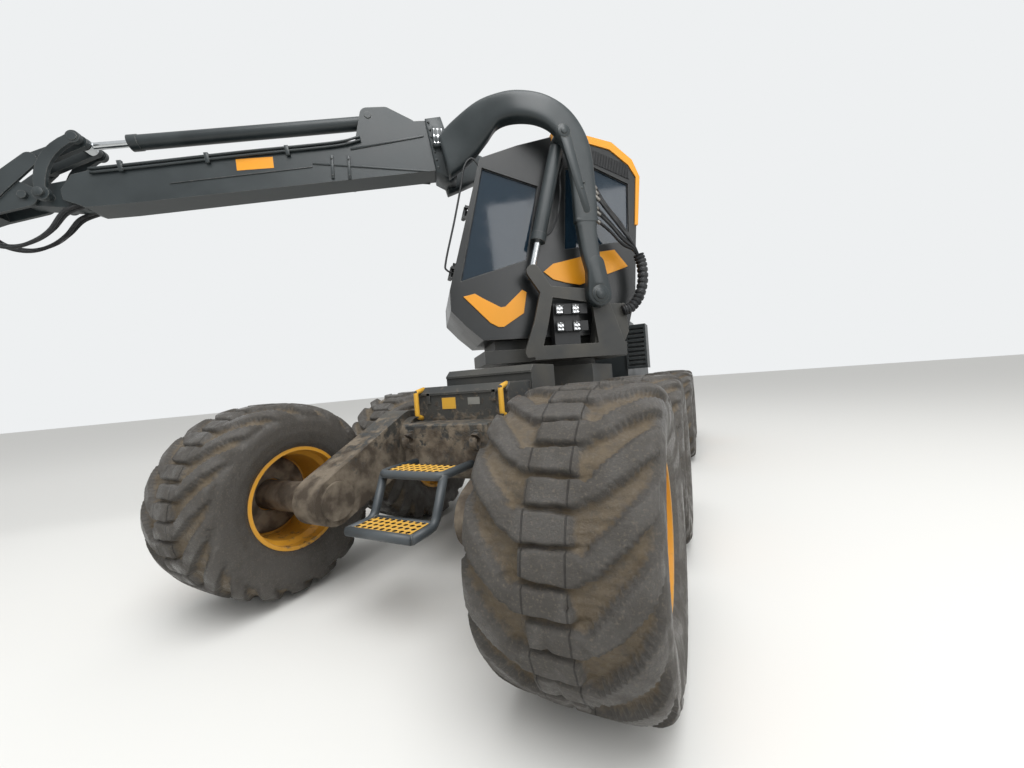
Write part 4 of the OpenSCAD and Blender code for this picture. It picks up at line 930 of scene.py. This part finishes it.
# Mud sits on the faces that stand upright, in the holes; its dark colour is also painted shade
# there
made.data.materials.append(mud_and_painted_shade)
facing = np.empty(3 * len(made.data.polygons))
made.data.polygons.foreach_get("normal", facing)
upright = (np.abs(facing[2::3]) < 0.5).astype(np.int32)
made.data.polygons.foreach_set("material_index", upright)
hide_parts("front_ladder")

# %% [markdown]
# ## Boxes on the front frame
# Two steel tool boxes stand on the frame's nose. What makes them read as boxes is the
# lid: a folded sheet that overhangs the body, with a dark gap below its lip and two
# latches. Blank plates sit where signs would be.

# %% Box lids and plates
BOX_FRONT = NOSE - 0.250
BOX_HALF = 0.415
box_low, box_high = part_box("front_boxes")
lid_top = box_high[2] - 0.130
# Forward and up from the front lid's folded corner
front_lid = np.array([(0.012, -0.062), (0.012, -0.044), (-0.046, 0.006), (-0.410, 0.006),
                      (-0.410, 0.0005), (-0.048, 0.0005), (0.004, -0.044), (0.004, -0.062)])
front_lid += (BOX_FRONT, lid_top)
rear_lid = front_lid + (-0.420, 0.130)
rear_lid[3:5, 0] -= 0.125


def face_plate(across, high, wide, tall, thick=0.003):
    """A thin plate on the box's front face: its side outline carried across."""
    outline = oblong((BOX_FRONT + thick / 2, high), thick, tall)
    return plate(outline, across - wide / 2, across + wide / 2, edge=0.0008, place=on_frame)


side = -BOX_HALF + 0.002
shells = [plate(front_lid, side, -side, edge=0.001, place=on_frame),
          plate(rear_lid, side, BOX_HALF + 0.018, edge=0.001, place=on_frame)]
for across in (-0.30, 0.30):
    shells.append(face_plate(across, lid_top - 0.085, 0.030, 0.085, 0.012))
build("box_lids", shells, frame_paint, "front_frame", "dark_paint", smooth=False)
build("box_plate_yellow", [face_plate(-0.110, lid_top - 0.130, 0.130, 0.090)], ladder_paint,
      "front_frame", "yellow_paint", smooth=False)
aluminium = plain("aluminium plate", "#8C8B85", 0.5, metal=0.3)
build("box_plate_grey", [face_plate(0.120, lid_top - 0.120, 0.105, 0.055)], aluminium,
      "front_frame", "dark_paint", smooth=False)

# %% [markdown]
# ## Grab handles
# The two grab handles are bent round bar in warm yellow, with feet on the box. They
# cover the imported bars, which meet at sharp corners.

# %% Handles
GRIP_R = 0.0195
grips = []
for x in (0.030 - BOX_HALF, BOX_HALF - 0.030):
    grips.append(bent([(BOX_FRONT - 0.006, x, box_low[2] + 0.020),
                       (BOX_FRONT + 0.055, x, box_low[2] + 0.040),
                       (BOX_FRONT + 0.055, x, lid_top - 0.030),
                       (BOX_FRONT - 0.048, x, lid_top - 0.008)], GRIP_R, ease=0.022))
build("grab_handles", grips, ladder_paint, "front_frame", "yellow_paint")

# %% [markdown]
# ## Hoses and pipes
# Oil reaches the crane through a bundle of hoses that leaves the leg above the side
# panel, hangs down behind it and dives into a thick ribbed sleeve on the base. More
# of them loop under the knee. Each hose is a tube on a smooth curve through given
# places, and both its ends are fixed, so it is trim and not a free cord.

# %% Hose bundle behind the leg
HOSE_R, FERRULE_R, LOOP_R, PIPE_R, LINE_R = 0.016, 0.021, 0.017, 0.013, 0.012
sleeve_way = through(on_cab([-0.775, -0.800, -0.800, -0.745, -0.650, -0.560],
                            [0.840, 0.850, 0.845, 0.830, 0.810, 0.790],
                            [0.860, 0.740, 0.560, 0.380, 0.270, 0.240]), 24)
fold = np.abs((np.arange(len(sleeve_way)) % 8) - 4)
sleeve = tube(sleeve_way, 0.050 + 0.010 * (fold > 1.5), 20)
build("hose_sleeve", [sleeve], hose_rubber, "cab", "dark_paint")
hoses, ferrules = [], []
for count, side in enumerate([-0.030, 0.000, 0.030, -0.012, 0.024, 0.004]):
    top = 1.66 - 0.085 * count
    spread = side * np.array([1, 1, 1, 0.6, 0.4, 0]) - np.array([0, 0, 0, 0, 0.02, 0.03])
    way = through(on_cab([-0.130, -0.262, -0.420, -0.570, -0.700, -0.775], 0.870 + spread,
                         [top + 0.02, top, 1.42 - 0.060 * count, 1.22 - 0.050 * count,
                          1.02 - 0.020 * count, 0.84]), 12)
    hoses.append(tube(way, HOSE_R))
    ferrules.append(tube(way[8:17], FERRULE_R))
for name, shells, material, slot_name in (
        ("leg_hoses", hoses, hose_rubber, "dark_paint"),
        ("leg_ferrules", ferrules, steel, "chrome_rod")):
    made = build(name, shells, material, None, slot_name)
    tuple(on_cab(-0.62, 0.87, 1.10).tolist())
    tuple(on_cab(-0.30, 0.87, 1.30).tolist())
    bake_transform(made)

# %% Knee hoses
loops = []
for across, sag in ((-0.115, 0.00), (-0.070, 0.03), (0.070, 0.02), (0.115, 0.05)):
    high = (np.array([1.66, 1.58, 1.44, 1.33, 1.27, 1.30, 1.39, 1.51])
            - sag * np.array([0, 0, 1, 1, 1, 0.8, 0.3, 0]))
    way = on_cab([4.98, 5.15, 5.28, 5.42, 5.60, 5.78, 5.90, 5.96],
                 across * np.array([1, 1, 1, 1, 0.95, 0.85, 0.75, 0.72]), high)
    loops.append(tube(through(way, 8), LOOP_R))
made = build("knee_hoses", loops, hose_rubber, None, "dark_paint")
tuple(on_cab(5.22, 0.0, 1.5).tolist())
tuple(on_cab(5.78, 0.0, 1.4).tolist())
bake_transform(made)

# %% Pipes along the boom and the lift cylinders
shells = []
for up in (0.150, 0.190):
    line = on_boom(np.array([0.62, 1.20, 2.10, 3.00, 3.30]),
                   up + np.array([-0.02, -0.01, 0.01, 0.02, 0.06]))
    for across in (BOOM_SIDE + 0.019, -BOOM_SIDE - 0.019):
        shells.append(tube(through(on_cab(line[:, 0], across, line[:, 1]), 8), PIPE_R))
for back in (0.9, 1.7, 2.5):
    shells += mirrored(on_boom(*oblong((back, 0.165), 0.04, 0.11).T), BOOM_SIDE, 0.176,
                       edge=0.003)
build("boom_pipes", shells, crane_paint, "main_boom", "dark_paint")
lines = []
for hand in (1, -1):
    way = on_cab([0.048, 0.022, 0.030, 0.062, 0.070, 0.125, 0.222, 0.288], hand * 0.718,
                 [2.030, 1.990, 1.900, 1.800, 1.600, 1.340, 1.160, 1.130])
    lines.append(tube(through(way, 10), LINE_R))
build("lift_lines", lines, hose_rubber, "lift_barrels", "dark_paint")

# %% [markdown]
# ## Trim on the boom
# Raised strips run along the boom's sides where its plates are joined, flat bars with
# bolts stiffen its root, a cap closes the knee's pin, and blank plates sit where signs
# would be. Each is an outline on the boom's side, made once and mirrored.

# %% Boom trim
strips = []
for a, b, half in (((2.348, 2.335), (1.530, 2.530), 0.012),
                   ((2.768, 2.150), (1.480, 2.112), 0.010),
                   ((2.784, 2.110), (4.185, 1.880), 0.005)):
    strips += mirrored(round_ends(a, half, b, half, 6), BOOM_SIDE, 0.149, edge=0.003)
for forward in (2.39, 2.57):
    clamp = [(-0.016, 1.985), (0.016, 1.985), (0.012, 2.250), (-0.020, 2.250)]
    strips += mirrored(np.array(clamp) + (forward, 0), BOOM_SIDE, 0.157, edge=0.003)
    for up in (2.02, 2.21):
        strips += mirrored(ring((forward - 0.002, up), 0.011, 6), 0.156, 0.166, edge=0.002)
strips += mirrored(ring(on_boom(0.190, -0.030), 0.045), 0.205, 0.216, edge=0.004)
build("boom_trim", strips, crane_paint, "main_boom", "dark_paint")
blank = mirrored([(3.175, 2.085), (3.545, 2.040), (3.550, 2.165), (3.180, 2.210)],
                 0.1395, 0.1425, edge=0.0008)
build("boom_plates", blank, yellow_paint, "main_boom", "yellow_paint", smooth=False)

# %% [markdown]
# ## Cab trim
# Rubber beads hold the panes, a ribbed grille stands below the roof at the rear, and a
# thin rail guards the left front pillar. A bead is a circle carried round the
# pane's outline, and the grille is a row of slats on a plate.

# %% Cab trim
def bead(outline, across, radius, sides=8):
    """A round bead along a closed outline: a circle at each corner, in its mitre."""
    turn = turns(sides)
    outline = np.array(outline)
    flat = outline[:, None] + radius * np.cos(turn)[:, None] * mitres(outline)[:, None]
    points = on_cab(flat[..., 0], across + radius * np.sin(turn), flat[..., 1])
    return points, [quads(len(outline), sides, True, True)]


FRONT_WINDOW = [(1.255, 0.660), (0.925, 1.925), (0.290, 1.735), (0.480, 0.890)]
PANE_SIDE, CAB_SIDE = 0.572, 0.599
REAR_WINDOW = [(0.020, 1.010), (-0.060, 1.960), (-0.400, 1.990), (-0.850, 1.800), (-0.805, 1.110)]
beads = [bead(window, hand * PANE_SIDE, 0.011)
         for window in (FRONT_WINDOW, REAR_WINDOW) for hand in (1, -1)]
build("pane_beads", beads, hose_rubber, "cab", "dark_paint")
grille = mirrored([(-0.36, 2.215), (-0.36, 2.045), (-0.87, 1.850), (-0.87, 2.015)],
                  CAB_SIDE, 0.603, edge=0.001)
for forward in np.linspace(-0.375, -0.855, 25):
    slat = oblong((forward, 2.1275 + (forward + 0.36) * 0.382), 0.010, 0.165)
    grille += mirrored(slat, 0.602, 0.611, edge=0.002)
build("roof_grille", grille, black_plastic, "cab", "dark_paint", smooth=False)
rail = through(on_cab([0.940, 1.020, 1.110, 1.170, 1.270, 1.395, 1.390, 1.270],
                      [0.550, 0.550, 0.550, 0.550, 0.550, 0.550, 0.550, 0.540],
                      [1.960, 2.050, 1.960, 1.720, 1.340, 0.900, 0.800, 0.760]), 8)
build("pillar_rail", [tube(rail, 0.011)], black_plastic, "cab", "dark_paint")

# %% [markdown]
# ## The seat
# The driver's seat has a crowned cushion, a taller back that is narrower at the top,
# and two armrests. Foam under cloth makes soft rounded boxes: each is a sheet of
# rings whose half width follows a fourth-power round, pulled in along its seam.

# %% Seat
PAD_ROWS, PAD_COLUMNS = 34, 56


def pad(middle, half, lean=0.0, taper=0.0):
    """A stuffed box of half sizes (forward, across, up): at height t from -1 to 1 its section
    is a fourth-power round times (1 - t^4)^(1/4), pinched by a twentieth of a narrow bell at
    the seam, t = 0.55. Lean moves it back with height and taper narrows it."""
    t = np.sin(np.linspace(-1, 1, PAD_ROWS) * math.pi / 2)[:, None]
    turn = turns(PAD_COLUMNS)
    size = np.maximum(1 - t ** 4, 0.0004) ** 0.25 * (1 - 0.05 * bell(t, 0.55, 0.07))
    forward = blunt(np.cos(turn)) * half[0] * size
    across = blunt(np.sin(turn)) * half[1] * size * (1 - taper * t)
    return lofted(on_cab(middle[0] + forward - lean * t, middle[1] + across,
                         middle[2] + half[2] * t))


def upholstered(name, shells):
    """A padded piece in seat cloth that stands in for the plain seat."""
    made = build(name, shells, seat_cloth, "cab", "seat")
    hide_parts("operator_seat")


upholstered("seat_cushion", [pad((-0.210, 0.0, 0.380), (0.265, 0.245, 0.070))])
upholstered("seat_back", [pad((-0.520, 0.0, 0.815), (0.052, 0.232, 0.370), 0.085, 0.12)])
upholstered("seat_arms", [pad((-0.065, s * 0.325, 0.620), (0.262, 0.068, 0.029))
                          for s in (-1, 1)])
stand = round_ends((-0.25, 0.16), 0.11, (-0.25, 0.24), 0.11)
posts = [plate(stand, -0.12, 0.12, edge=0.010),
         *mirrored(oblong((-0.29, 0.4725), 0.08, 0.245), 0.255, 0.390, edge=0.006),
         *mirrored(oblong((-0.29, 0.400), 0.08, 0.096), 0.235, 0.270, edge=0.004)]
made = build("seat_base", posts, black_plastic, "cab", "seat")
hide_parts("operator_seat")

# %% [markdown]
# ## Wheel nuts and drums
# Twelve nuts on washers clamp each rim's disc, and a ring of small bolts closes the
# hub. They are hexagons carried along the axle. Behind the disc, a muddy drum fills
# the gap that would show through the rim: it is a stepped section turned on the axle.

# %% Wheel nuts and drums
# How many, radius of the ring, radius of a nut, its foot and its height
NUT_RINGS = ((12, 0.195, 0.017, 0.122, 0.026), (10, 0.088, 0.010, 0.2235, 0.010))
NUT_FOOT = 0.012
# Radius, distance out from the rim's middle
DRUM = np.array([(0.114, 0.030), (0.160, 0.022), (0.256, 0.032), (0.274, 0.046), (0.274, 0.062),
                 (0.114, 0.062)])
DRUM_STEPS = 48


def nuts(wheel, middle, hand):
    """Rings of nuts on the outer face of one rim."""
    shells = []
    for count, around, size, face, tall in NUT_RINGS:
        v0, v1 = sorted(middle[0] + hand * np.array([face - NUT_FOOT, face + tall]))
        for at in ring((-middle[1], middle[2]), around, count):
            shells.append(plate(ring(at, size, 6), v0, v1, edge=0.003, place=on_frame))
    build("nuts_" + wheel, shells, rim_paint, "wheel_" + wheel, "rim", smooth=False)


def drum(wheel, middle, hand):
    """The drum behind one rim's disc: its section turned about the axle."""
    turn = turns(DRUM_STEPS)[:, None]
    points = on_wheel(middle, hand * DRUM[:, 1], DRUM[:, 0], turn)
    build("drum_" + wheel, [(points, [quads(DRUM_STEPS, len(DRUM), True, True)])], frame_paint,
          "wheel_" + wheel, "dark_paint", smooth=False)


for wheel in WHEELS:
    place = wheel, middle_of("rim_" + wheel), 1 if wheel[0] == "l" else -1
    nuts(*place)
    drum(*place)
